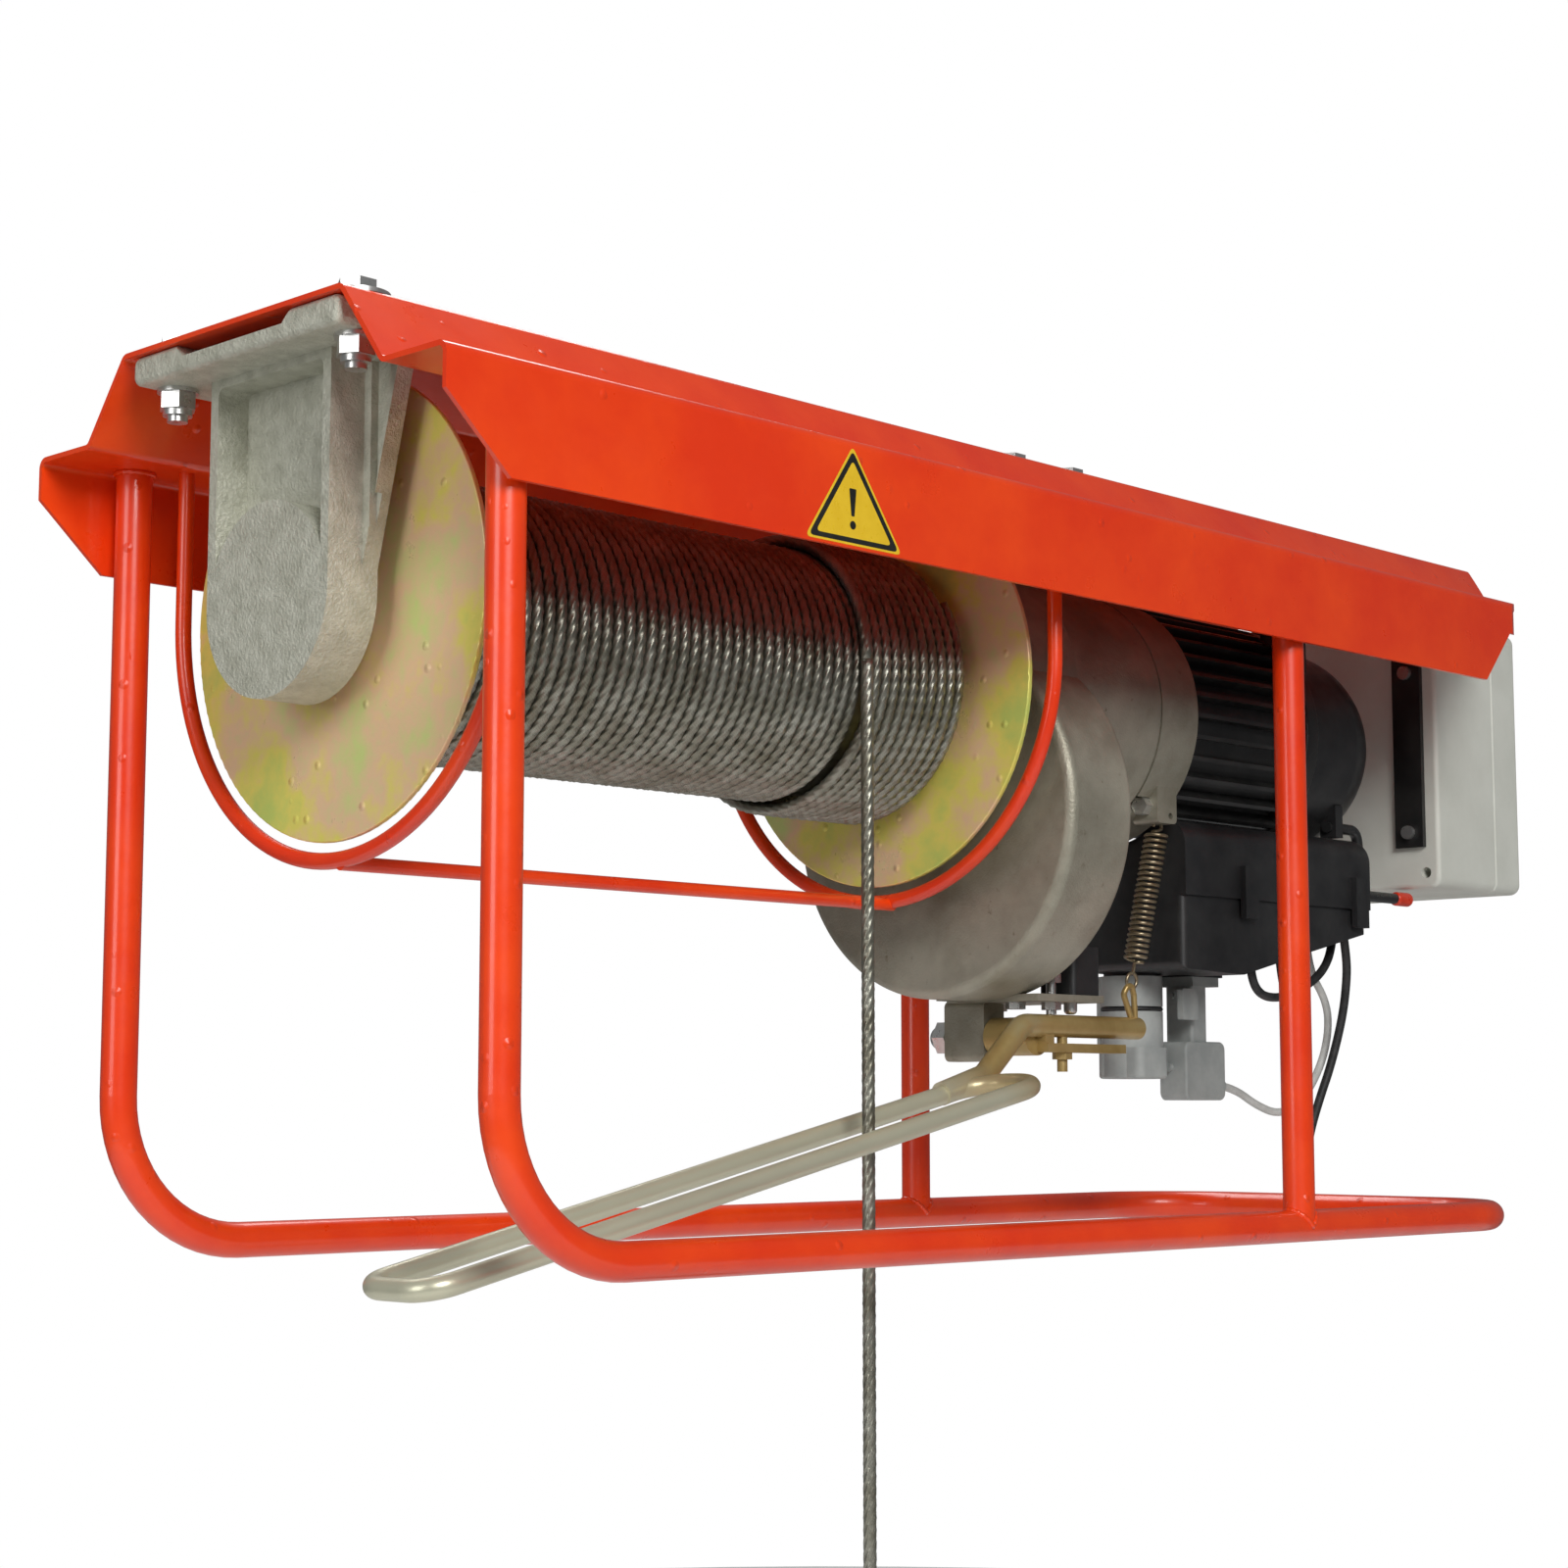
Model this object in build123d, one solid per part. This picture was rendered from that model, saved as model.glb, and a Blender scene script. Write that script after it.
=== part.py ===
"""Electric wire rope hoist: a canopy and tube frame with a rope drum, gearbox, motor and limit lever.

Millimetres, +Z up. X runs along the drum, from the bearing bracket (-X) to the control box (+X).
The origin is the middle of the four suspension bolt holes, on the canopy's top face.
"""
from build123d import *
import math
import os

# ---- canopy: a bent sheet with a raised top, sloped sides, ledges and skirts ----
SHEET = 2.5
CANOPY_LEFT = -430.0
SKIRT_RIGHT = 430.0
CANOPY_NOSE = 510.0
TOP_HALF = 86.0
VALLEY_HALF = 116.0
SKIRT_HALF = 159.3
VALLEY_Z = -39.0
SKIRT_Z = -93.0
SKIRT_CHAMFER_Z = -60.0
CHAMFER_LEFT = 36.0
CHAMFER_RIGHT = 30.0
BEND = 3.0
HANG_SPACING_X = 340.0
HANG_SPACING_Y = 100.0
HANG_HOLE_R = 5.5

# ---- tube frame ----
TUBE_R = 9.0
TUBE_WALL = 2.0
LEG_Y = 144.7
LEFT_LEG_X = -384.6
RIGHT_LEG_X = 203.5
BASE_Z = -424.8
BASE_END_X = 457.5
LEG_BEND = 72.0
END_BEND = 66.0
LEDGE_UNDER_Z = VALLEY_Z - SHEET

# ---- drum and rope ----
AXIS_Z = -125.5
ROPE_D = 7.0
DRUM_R = 48.6
LAYERS = 3
FLANGE_R = 110.5
FLANGE_T = 3.0
FLANGE_LEFT_X = -367.0
FLANGE_RIGHT_X = 10.0
WOUND_LEFT_X = -362.0
WOUND_RIGHT_X = 0.0
LAYER_R = DRUM_R + LAYERS * ROPE_D
HANG_X = -78.3
HANG_Y = -(LAYER_R + ROPE_D / 2 + 0.3)
ROPE_END_Z = -600.0
SHAFT_R = 15.0
RUN = 0.05

# ---- rope guards ----
GUARD_R = 4.0
GUARD_HALF = 127.0
GUARD_BOTTOM_Z = -244.5
TIE_R = 3.5

# ---- bearing bracket ----
PLATE_HALF = 81.0
PLATE_FRONT_X = -428.0
PLATE_BACK_X = -378.0
PLATE_TOP_Z = -2.6
PLATE_BOTTOM_Z = -16.6
COLUMN_HALF = 47.0
COLUMN_FRONT_X = -406.0
BRACKET_BOLT_X = -409.5
BRACKET_BOLT_Y = 70.0
BEARING_R = 31.0
BEARING_W = 16.0

# ---- gearbox ----
COUNTER_Z = -197.5
CASE_LEFT_X = 40.0
CASE_SPLIT_X = 88.0
CASE_WALL_X = 94.0
BELL_RIGHT_X = 175.0
BELL_R = 76.0
BULGE_Y = -12.0
BULGE_Z = -195.0
BULGE_R = 103.0
CASE_WALL = 6.0
CASE_TOP_Z = -2.6
STRAP_Y = 56.0
STRAP_BOLT_X = 455.0
STRAP_BOTTOM_Z = -187.0
NECK_HALF = 46.0
DRUM_TEETH = 60
COUNTER_TEETH = 12
DRUM_MODULE = 2.0
STAGE_TEETH = 84
PINION_TEETH = 12
STAGE_MODULE = 1.5
PRESSURE_ANGLE = 25.0
BACKLASH = 0.30
DRUM_GEAR_X = 48.0
DRUM_GEAR_W = 16.0
STAGE_GEAR_X = 70.0
STAGE_GEAR_W = 10.0

# ---- motor ----
ADAPTER_X = 175.0
HOUSING_X = 210.0
HOUSING_END_X = 327.0
RIM_END_X = 340.0
DOME_END_X = 444.0
HOUSING_R = 66.0
FIN_R = 75.0
FIN_COUNT = 36
FIN_T = 2.6
DOME_R = 66.0
ROTOR_R = 39.0
INLET_X = 241.0
POST_FRONT_Y = -24.0
HOOD_TOP_Z = -318.0
LOCK_Z = -290.0
INLET_SEAT_Z = -278.5
RELEASE_Y = -48.0
RELEASE_Z = -179.0
RELEASE_KNOB_Z = -221.0
RELEASE_R = 3.5

# ---- limit lever ----
LEVER_PIVOT_X = 100.0
LEVER_PIVOT_Z = -318.0
LOOP_ROD_R = 5.25
LOOP_Y = -70.0
LOOP_HALF = 24.0
LOOP_RIGHT_X = 42.0
LOOP_RIGHT_Z = -345.0
LOOP_LEFT_X = -380.0
LOOP_LEFT_Z = -437.0
ARM_ROD_R = 6.5
ARM_Y = -42.0
ARM_Z = -312.0
ARM_END_X = 191.0
BLOCK_FRONT_Y = -8.0
BLOCK_BACK_Y = 22.0
STUD_R = 6.0
PLATE_Z = -298.5
SWITCH_X = 128.0
STOP_X = 110.5
PLATE_BOLTS = ((98.0, -26.0), (120.0, 6.0))
LUG_X0 = 187.0
LUG_X1 = 206.0
LUG_Y = -53.0
LUG_BOLT_Z = -181.0


def solid_box(x0, x1, y0, y1, z0, z1):
    """A plain block between two corners."""
    block = Box(abs(x1 - x0), abs(y1 - y0), abs(z1 - z0))
    return Pos((x0 + x1) / 2, (y0 + y1) / 2, (z0 + z1) / 2) * block


def rod_x(x0, x1, y, z, radius):
    """A round bar along X."""
    return Pos((x0 + x1) / 2, y, z) * Rot(0, 90, 0) * Cylinder(radius, abs(x1 - x0))


def rod_y(y0, y1, x, z, radius):
    """A round bar along Y."""
    return Pos(x, (y0 + y1) / 2, z) * Rot(90, 0, 0) * Cylinder(radius, abs(y1 - y0))


def rod_z(z0, z1, x, y, radius):
    """A round bar along Z."""
    return Pos(x, y, (z0 + z1) / 2) * Cylinder(radius, abs(z1 - z0))


def hex_z(z0, z1, x, y, flats):
    """A hexagonal prism along Z, as a bolt head or nut."""
    face = Plane.XY.offset(min(z0, z1)) * Pos(x, y, 0) * RegularPolygon(flats / math.sqrt(3), 6)
    return extrude(face, abs(z1 - z0))


def ring_x(x0, x1, outer, inner, y=0.0, z=AXIS_Z):
    """A flat ring or sleeve round an axis along X."""
    return rod_x(x0, x1, y, z, outer) - rod_x(x0 - 1, x1 + 1, y, z, inner)


def bent_rod(points, radii, radius):
    """A round rod swept along straight runs joined by tangent arcs."""
    path = FilletPolyline(*points, radius=radii)
    start = path @ 0
    section = Plane(origin=start, z_dir=path % 0) * Circle(radius)
    return sweep(section, path=path)


def revolve_about_axis(profile, z=AXIS_Z, y=0.0):
    """Revolve an (x, radius) outline about an axis along X."""
    points = [(x, 0, radius) for x, radius in profile]
    face = make_face(Polyline(*points, close=True).edges())
    return Pos(0, y, z) * revolve(face, axis=Axis.X)


def save(shape, node):
    export_step(shape, f"parts/{node}.step")


def group(*solids):
    """Separate solids kept in one node."""
    return Compound(children=list(solids))


def offset_line(points, distance):
    """An open outline moved sideways by a distance, with mitred corners."""
    normals = []
    for (y0, z0), (y1, z1) in zip(points, points[1:]):
        length = math.hypot(y1 - y0, z1 - z0)
        normals.append(((z1 - z0) / length, -(y1 - y0) / length))
    moved = [(points[0][0] + distance * normals[0][0], points[0][1] + distance * normals[0][1])]
    for (y, z), (ay, az), (by, bz) in zip(points[1:-1], normals, normals[1:]):
        share = distance / (1 + ay * by + az * bz)
        moved.append((y + share * (ay + by), z + share * (az + bz)))
    moved.append((points[-1][0] + distance * normals[-1][0], points[-1][1] + distance * normals[-1][1]))
    return moved


# ---- canopy and frame ----

def canopy_cover():
    """The bent sheet canopy, with notched skirt ends and a rounded nose over the control box."""
    outer = [(-SKIRT_HALF, SKIRT_Z), (-SKIRT_HALF, VALLEY_Z), (-VALLEY_HALF, VALLEY_Z), (-TOP_HALF, 0)]
    outer += [(-y, z) for y, z in reversed(outer)]
    inner = offset_line(outer, SHEET)
    tight = BEND
    wide = BEND + SHEET
    outer_line = Plane.YZ * FilletPolyline(*outer, radius=[wide, tight, wide, wide, tight, wide])
    inner_line = Plane.YZ * FilletPolyline(*inner, radius=[tight, wide, tight, tight, wide, tight])
    ends = [Plane.YZ * Line(outer[0], inner[0]), Plane.YZ * Line(outer[-1], inner[-1])]
    face = make_face(outer_line.edges() + inner_line.edges() + [end.edge() for end in ends])
    sheet = extrude(Plane.YZ.offset(CANOPY_LEFT) * Plane.YZ.location.inverse() * face,
                    CANOPY_NOSE - CANOPY_LEFT, dir=(1, 0, 0))
    side = SKIRT_HALF + 1
    nose_mid = (SKIRT_RIGHT + 59, VALLEY_HALF)
    nose_end = (CANOPY_NOSE, TOP_HALF - 20)
    plan = make_face([
        Line((CANOPY_LEFT, -side), (SKIRT_RIGHT, -side)),
        ThreePointArc((SKIRT_RIGHT, -side), (nose_mid[0], -nose_mid[1]), (nose_end[0], -nose_end[1])),
        Line((nose_end[0], -nose_end[1]), nose_end),
        ThreePointArc(nose_end, nose_mid, (SKIRT_RIGHT, side)),
        Line((SKIRT_RIGHT, side), (CANOPY_LEFT, side)),
        Line((CANOPY_LEFT, side), (CANOPY_LEFT, -side)),
    ])
    sheet = sheet & extrude(Plane.XY.offset(SKIRT_Z - 1) * plan, 120)
    for end_x, reach in ((CANOPY_LEFT, CHAMFER_LEFT), (SKIRT_RIGHT, -CHAMFER_RIGHT)):
        beyond = end_x - math.copysign(20, reach)
        notch = make_face(Polyline((end_x, 0, SKIRT_CHAMFER_Z), (end_x + reach, 0, SKIRT_Z),
                                   (end_x + reach, 0, SKIRT_Z - 5), (beyond, 0, SKIRT_Z - 5),
                                   (beyond, 0, SKIRT_CHAMFER_Z), close=True).edges())
        sheet = sheet - extrude(notch, 2 * side, both=True)
    holes = [(sx * HANG_SPACING_X / 2, sy * HANG_SPACING_Y / 2, HANG_HOLE_R)
             for sx in (-1, 1) for sy in (-1, 1)]
    holes += [(BRACKET_BOLT_X, sy * BRACKET_BOLT_Y, 5.3) for sy in (-1, 1)]
    holes += [(x, sy * 60, 5.3) for x in (56, 108) for sy in (-1, 1)]
    holes += [(STRAP_BOLT_X, sy * STRAP_Y, 4.3) for sy in (-1, 1)]
    for x, y, radius in holes:
        sheet = sheet - rod_z(-10, 5, x, y, radius)
    return sheet


def base_tube():
    """One bent tube: rear left leg, base loop and front left leg."""
    points = [(LEFT_LEG_X, LEG_Y, LEDGE_UNDER_Z), (LEFT_LEG_X, LEG_Y, BASE_Z), (BASE_END_X, LEG_Y, BASE_Z),
              (BASE_END_X, -LEG_Y, BASE_Z), (LEFT_LEG_X, -LEG_Y, BASE_Z), (LEFT_LEG_X, -LEG_Y, LEDGE_UNDER_Z)]
    radii = [LEG_BEND, END_BEND, END_BEND, LEG_BEND]
    path = FilletPolyline(*points, radius=radii)
    section = Plane(origin=path @ 0, z_dir=path % 0) * (Circle(TUBE_R) - Circle(TUBE_R - TUBE_WALL))
    return sweep(section, path=path)


def right_leg(side):
    """A straight leg, coped where it is welded to the base tube."""
    y = side * LEG_Y
    leg = rod_z(LEDGE_UNDER_Z, BASE_Z, RIGHT_LEG_X, y, TUBE_R)
    leg = leg - rod_z(LEDGE_UNDER_Z + 1, BASE_Z - 1, RIGHT_LEG_X, y, TUBE_R - TUBE_WALL)
    return leg - rod_x(RIGHT_LEG_X - 20, RIGHT_LEG_X + 20, y, BASE_Z, TUBE_R)


def rope_guard(x):
    """A U of rod round a drum flange, hung from the ledges."""
    bend = GUARD_HALF
    arc_z = GUARD_BOTTOM_Z + bend
    path = Line((x, GUARD_HALF, LEDGE_UNDER_Z), (x, GUARD_HALF, arc_z))
    path += ThreePointArc((x, GUARD_HALF, arc_z), (x, 0, GUARD_BOTTOM_Z), (x, -GUARD_HALF, arc_z))
    path += Line((x, -GUARD_HALF, arc_z), (x, -GUARD_HALF, LEDGE_UNDER_Z))
    section = Pos(x, GUARD_HALF, LEDGE_UNDER_Z) * Circle(GUARD_R)
    return sweep(section, path=path)


# ---- bearing bracket ----

def bearing_bracket():
    """Cast bracket: a recessed top plate, a ribbed column, tapered wings and the bearing boss."""
    plate = solid_box(PLATE_FRONT_X, PLATE_BACK_X, -PLATE_HALF, PLATE_HALF, PLATE_BOTTOM_Z, PLATE_TOP_Z)
    plate = fillet(plate.edges().filter_by(Axis.X), 4.5)
    plate = fillet(plate.edges().filter_by(Axis.Z), 3.0)
    recess = make_face(Plane.YZ * Polyline((-49, 0), (-39, -9), (39, -9), (49, 0), close=True))
    plate = plate - Pos(PLATE_FRONT_X - 1, 0, 0) * extrude(recess, PLATE_BACK_X - PLATE_FRONT_X + 2,
                                                          dir=(1, 0, 0))
    boss_z = AXIS_Z
    column = solid_box(COLUMN_FRONT_X, PLATE_BACK_X, -COLUMN_HALF, COLUMN_HALF, boss_z, PLATE_BOTTOM_Z + 3)
    boss = rod_x(COLUMN_FRONT_X, PLATE_BACK_X, 0, boss_z, COLUMN_HALF)
    body = column + boss
    web_top = PLATE_BOTTOM_Z - 4
    rib = 6.0
    pocket = solid_box(COLUMN_FRONT_X - 1, COLUMN_FRONT_X + 17, -COLUMN_HALF + rib, COLUMN_HALF - rib,
                       boss_z, web_top)
    pocket = fillet(pocket.edges().filter_by(Axis.X), 4)
    pad = rod_x(COLUMN_FRONT_X - 2, PLATE_BACK_X, 0, boss_z, COLUMN_HALF - 2)
    body = body - (pocket - pad)
    wing_t = 9.0
    wing = make_face(Plane.YZ * Polyline((-PLATE_HALF + 7, PLATE_BOTTOM_Z + 2), (-COLUMN_HALF + 6, boss_z - 12),
                                         (COLUMN_HALF - 6, boss_z - 12), (PLATE_HALF - 7, PLATE_BOTTOM_Z + 2),
                                         close=True))
    wing = Pos(PLATE_BACK_X - wing_t, 0, 0) * extrude(wing, wing_t, dir=(1, 0, 0))
    for side in (-1, 1):
        face = make_face(Plane.YZ * Polyline((side * (COLUMN_HALF + 5), PLATE_BOTTOM_Z - 4),
                                             (side * (PLATE_HALF - 14), PLATE_BOTTOM_Z - 4),
                                             (side * (COLUMN_HALF + 5), boss_z + 22), close=True))
        wing = wing - Pos(PLATE_BACK_X - wing_t - 1, 0, 0) * extrude(face, 5, dir=(1, 0, 0))
    bracket = plate + body + wing
    bracket = bracket - rod_x(PLATE_BACK_X - BEARING_W - 1, PLATE_BACK_X + 1, 0, AXIS_Z, BEARING_R)
    bracket = bracket - rod_x(PLATE_BACK_X - BEARING_W - 5, PLATE_BACK_X, 0, AXIS_Z, SHAFT_R + 3)
    for side in (-1, 1):
        bracket = bracket - rod_z(-30, 0, BRACKET_BOLT_X, side * BRACKET_BOLT_Y, 5.3)
    return bracket


def through_bolt(x, y, top_z, seat_z, radius, flats, washer_r):
    """A bolt with its head above the canopy and a lock nut below the casting."""
    bolt = rod_z(seat_z - 16, top_z + 2, x, y, radius)
    bolt = bolt + hex_z(top_z + 2, top_z + 8, x, y, flats)
    bolt = bolt + rod_z(top_z, top_z + 2, x, y, washer_r)
    nut = hex_z(seat_z - 2, seat_z - 10, x, y, flats) + rod_z(seat_z - 10, seat_z - 13, x, y, flats * 0.44)
    nut = nut + rod_z(seat_z, seat_z - 2, x, y, flats * 0.62)
    nut = nut - rod_z(seat_z + 1, seat_z - 20, x, y, radius)
    return bolt, nut


def canopy_fasteners():
    """The M10 bolts and nuts of the bearing bracket and the gearbox, and the M8 ones of the straps."""
    solids = []
    for side in (-1, 1):
        solids += through_bolt(BRACKET_BOLT_X, side * BRACKET_BOLT_Y, 0, PLATE_BOTTOM_Z, 5.0, 16.0, 15.0)
        for x in (56, 108):
            solids += through_bolt(x, side * 60, 0, -16, 5.0, 16.0, 12.0)
        solids += through_bolt(STRAP_BOLT_X, side * STRAP_Y, 0, CASE_TOP_Z - 4, 4.0, 13.0, 9.0)
    return group(*solids)


def ball_bearing(x0, width, outer, inner, z):
    """A sealed ball bearing, as one ring with a groove each side for its seals."""
    bearing = ring_x(x0, x0 + width, outer, inner, z=z)
    low = inner + (outer - inner) * 0.25
    high = inner + (outer - inner) * 0.75
    for groove_x in (x0, x0 + width - 1):
        bearing = bearing - ring_x(groove_x, groove_x + 1, high, low, z=z)
    return bearing


# ---- gears ----

def gear_face(teeth, module, tooth_angle):
    """An involute gear outline in the YZ plane, with a tooth centred on tooth_angle (degrees from +Y)."""
    pitch_r = module * teeth / 2
    base_r = pitch_r * math.cos(math.radians(PRESSURE_ANGLE))
    tip_r = pitch_r + module
    root_r = pitch_r - 1.25 * module
    half_pitch = (math.pi * module / 2 - BACKLASH / 2) / 2 / pitch_r
    involute_pitch = math.tan(math.radians(PRESSURE_ANGLE)) - math.radians(PRESSURE_ANGLE)
    flank = []
    steps = 4
    start_r = max(base_r, root_r)
    for step in range(steps + 1):
        radius = start_r + (tip_r - start_r) * step / steps
        roll = math.acos(min(1.0, base_r / radius))
        flank.append((radius, half_pitch + involute_pitch - (math.tan(roll) - roll)))
    if root_r < base_r:
        flank.insert(0, (root_r, flank[0][1]))
    points = []
    for tooth in range(teeth):
        middle = math.radians(tooth_angle) + 2 * math.pi * tooth / teeth
        side_a = [(radius, middle - angle) for radius, angle in flank]
        side_b = [(radius, middle + angle) for radius, angle in reversed(flank)]
        points += [(radius * math.cos(angle), radius * math.sin(angle)) for radius, angle in side_a + side_b]
    return make_face(Plane.YZ * Polyline(*points, close=True))


def gear(teeth, module, tooth_angle, x0, width, z):
    """A straight gear about an axis along X."""
    return Pos(x0, 0, z) * extrude(gear_face(teeth, module, tooth_angle), width, dir=(1, 0, 0))


def drum_gear():
    """Output gear on the drum shaft, lightened with a web."""
    wheel = gear(DRUM_TEETH, DRUM_MODULE, -90, DRUM_GEAR_X, DRUM_GEAR_W, AXIS_Z)
    for x0 in (DRUM_GEAR_X - 1, DRUM_GEAR_X + DRUM_GEAR_W - 4):
        wheel = wheel - ring_x(x0, x0 + 5, 50, 26)
    return wheel - rod_x(DRUM_GEAR_X - 1, DRUM_GEAR_X + DRUM_GEAR_W + 1, 0, AXIS_Z, SHAFT_R)


def countershaft():
    """Countershaft with its cut pinion."""
    shaft = rod_x(36.5, 96, 0, COUNTER_Z, 7.5)
    return shaft + gear(COUNTER_TEETH, DRUM_MODULE, 90 + 180 / COUNTER_TEETH, 47, 18, COUNTER_Z)


def intermediate_gear():
    """Large first-stage gear, pressed on the countershaft."""
    wheel = gear(STAGE_TEETH, STAGE_MODULE, 90, STAGE_GEAR_X, STAGE_GEAR_W, COUNTER_Z)
    wheel = wheel - ring_x(STAGE_GEAR_X - 1, STAGE_GEAR_X + 3, 55, 16, z=COUNTER_Z)
    wheel = wheel - ring_x(STAGE_GEAR_X + 7, STAGE_GEAR_X + 11, 55, 16, z=COUNTER_Z)
    return wheel - rod_x(STAGE_GEAR_X - 1, STAGE_GEAR_X + STAGE_GEAR_W + 1, 0, COUNTER_Z, 7.5)


# ---- gearbox casing ----

def bulge_outline(shrink):
    """Outline of the gear case in the YZ plane, moved in by a wall thickness."""
    round_part = Pos(BULGE_Y, BULGE_Z) * Circle(BULGE_R - shrink)
    upper = Pos(0, AXIS_Z) * Circle(BELL_R + 4 - shrink)
    neck_top = CASE_TOP_Z - shrink
    neck = Pos(0, (neck_top + AXIS_Z) / 2) * Rectangle(2 * (NECK_HALF - shrink), neck_top - AXIS_Z)
    cut = Pos(150, -330) * Rot(0, 0, 38) * Rectangle(300, 120)
    return Plane.YZ * (round_part + upper + neck - Pos(shrink * -0.6, shrink * 0.8) * cut)


def case_solid(x0, x1, shrink=0.0):
    return extrude(Plane.YZ.offset(x0) * Plane.YZ.location.inverse() * bulge_outline(shrink), x1 - x0,
                   dir=(1, 0, 0))


def gearbox_case():
    """Drum-side gear case: bulged shell, top mounting flange, bearing bosses and stiffening ribs."""
    shell = case_solid(CASE_LEFT_X, CASE_SPLIT_X)
    shell = fillet(shell.faces().sort_by(Axis.X)[0].edges(), 6)
    shell = shell + solid_box(CASE_LEFT_X + 4, CASE_SPLIT_X, -74, 74, -16, CASE_TOP_Z)
    shell = shell + rod_x(22, CASE_LEFT_X + 8, 0, AXIS_Z, 39)
    shell = shell + rod_x(32, CASE_LEFT_X + 8, 0, COUNTER_Z, 24)
    shell = shell - case_solid(CASE_LEFT_X + CASE_WALL, CASE_SPLIT_X, CASE_WALL)
    shell = shell - rod_x(26, 50, 0, AXIS_Z, BEARING_R)
    shell = shell - rod_x(20, 50, 0, AXIS_Z, SHAFT_R + 2)
    shell = shell - rod_x(36, 50, 0, COUNTER_Z, 17.5)
    for side in (-1, 1):
        shell = shell - rod_z(-20, 0, 56, side * 60, 5.3)
    return shell


def gearbox_cover():
    """Motor-side cover: end wall over the gear case and the round bell housing."""
    wall = case_solid(CASE_SPLIT_X, CASE_WALL_X)
    wall = fillet(wall.faces().sort_by(Axis.X)[-1].edges(), 4)
    bell = rod_x(CASE_WALL_X - 1, BELL_RIGHT_X, 0, AXIS_Z, BELL_R)
    bell = fillet(bell.faces().sort_by(Axis.X)[-1].edges(), 2)
    cover = wall + bell + rod_x(84, 100, 0, COUNTER_Z, 22)
    cover = cover + solid_box(CASE_SPLIT_X, 120, -74, 74, -16, CASE_TOP_Z)
    cover = cover + solid_box(CASE_SPLIT_X, 112, -NECK_HALF, NECK_HALF, AXIS_Z + 50, -10)
    cover = cover - rod_x(CASE_WALL_X + 14, BELL_RIGHT_X + 1, 0, AXIS_Z, BELL_R - 7)
    cover = cover - rod_x(80, 120, 0, AXIS_Z, 12)
    cover = cover - rod_x(94, 110, 0, AXIS_Z, 20)
    cover = cover - rod_x(82, 98, 0, COUNTER_Z, 17.5)
    for side in (-1, 1):
        cover = cover - rod_z(-20, 0, 108, side * 60, 5.3)
    return cover


# ---- rotating drum ----

def drum_flanges():
    discs = []
    for x in (FLANGE_LEFT_X, FLANGE_RIGHT_X):
        disc = rod_x(x, x + FLANGE_T, 0, AXIS_Z, FLANGE_R)
        disc = fillet(disc.edges().filter_by(GeomType.CIRCLE), 0.8)
        discs.append(disc - rod_x(x - 1, x + FLANGE_T + 1, 0, AXIS_Z, SHAFT_R))
    return group(*discs)


def drum_tube():
    return ring_x(FLANGE_LEFT_X + FLANGE_T, FLANGE_RIGHT_X, DRUM_R, DRUM_R - 5)


def drum_shaft():
    return rod_x(PLATE_BACK_X - BEARING_W, 67, 0, AXIS_Z, SHAFT_R)


def wound_rope():
    """The wound layers as one sleeve, with the part layer that the hanging rope leaves from."""
    top_layer = LAYER_R + ROPE_D
    step_x = HANG_X + ROPE_D / 2 + 0.3
    return revolve_about_axis([(WOUND_LEFT_X, DRUM_R), (WOUND_LEFT_X, LAYER_R), (step_x, LAYER_R),
                               (step_x, top_layer), (WOUND_RIGHT_X, top_layer), (WOUND_RIGHT_X, DRUM_R)])


def rope_clamp():
    """Clamp plate that holds the rope's inner end outside the right flange."""
    x = FLANGE_RIGHT_X + FLANGE_T
    plate = fillet(solid_box(x, x + 4, -14, 14, AXIS_Z + 54, AXIS_Z + 72).edges().filter_by(Axis.X), 3)
    for y in (-7, 7):
        plate = plate + rod_x(x + 4, x + 7, y, AXIS_Z + 63, 4)
    return plate


# ---- motor ----

def motor_adapter():
    """Ring that joins the motor to the bell housing, with the spring lug below."""
    ring = ring_x(ADAPTER_X, HOUSING_X, BELL_R, 58)
    ring = ring + ring_x(188, HOUSING_X - 2, 60, 23.5)
    lug = solid_box(LUG_X0, LUG_X1, LUG_Y - 9, LUG_Y + 9, -191, -168)
    lug = fillet(lug.edges().filter_by(Axis.Y), 3)
    lug = lug - rod_y(-70, -30, 200, -186.5, 2.0)
    ring = ring + lug - rod_x(LUG_X0 - 1, HOUSING_X + 1, LUG_Y, LUG_BOLT_Z, 2.5)
    ring = ring - rod_x(ADAPTER_X - 1, LUG_X0, LUG_Y, LUG_BOLT_Z, 6.2)
    return ring - rod_x(ADAPTER_X - 1, HOUSING_X + 1, 0, AXIS_Z, 23.5)


def motor_housing():
    """Finned stator housing."""
    body = ring_x(HOUSING_X, HOUSING_END_X, HOUSING_R, HOUSING_R - 5)
    fin = solid_box(HOUSING_X, HOUSING_END_X, -FIN_T / 2, FIN_T / 2, HOUSING_R - 1, FIN_R)
    for index in range(FIN_COUNT):
        angle = 360 * index / FIN_COUNT
        if abs(angle - 180) > 32:
            body = body + Pos(0, 0, AXIS_Z) * Rot(angle, 0, 0) * fin
    return body


def motor_stator():
    core = ring_x(230, 310, HOUSING_R - 5, ROTOR_R + 0.5)
    for index in range(24):
        slot = solid_box(229, 311, -2, 2, ROTOR_R, ROTOR_R + 13)
        core = core - Pos(0, 0, AXIS_Z) * Rot(15 * index, 0, 0) * slot
    return core


def motor_windings():
    """The two end turns of the stator winding."""
    return group(fillet(ring_x(214, 229.5, 57, 42).edges().filter_by(GeomType.CIRCLE), 4),
                 fillet(ring_x(310.5, 321, 57, 42).edges().filter_by(GeomType.CIRCLE), 4))


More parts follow.
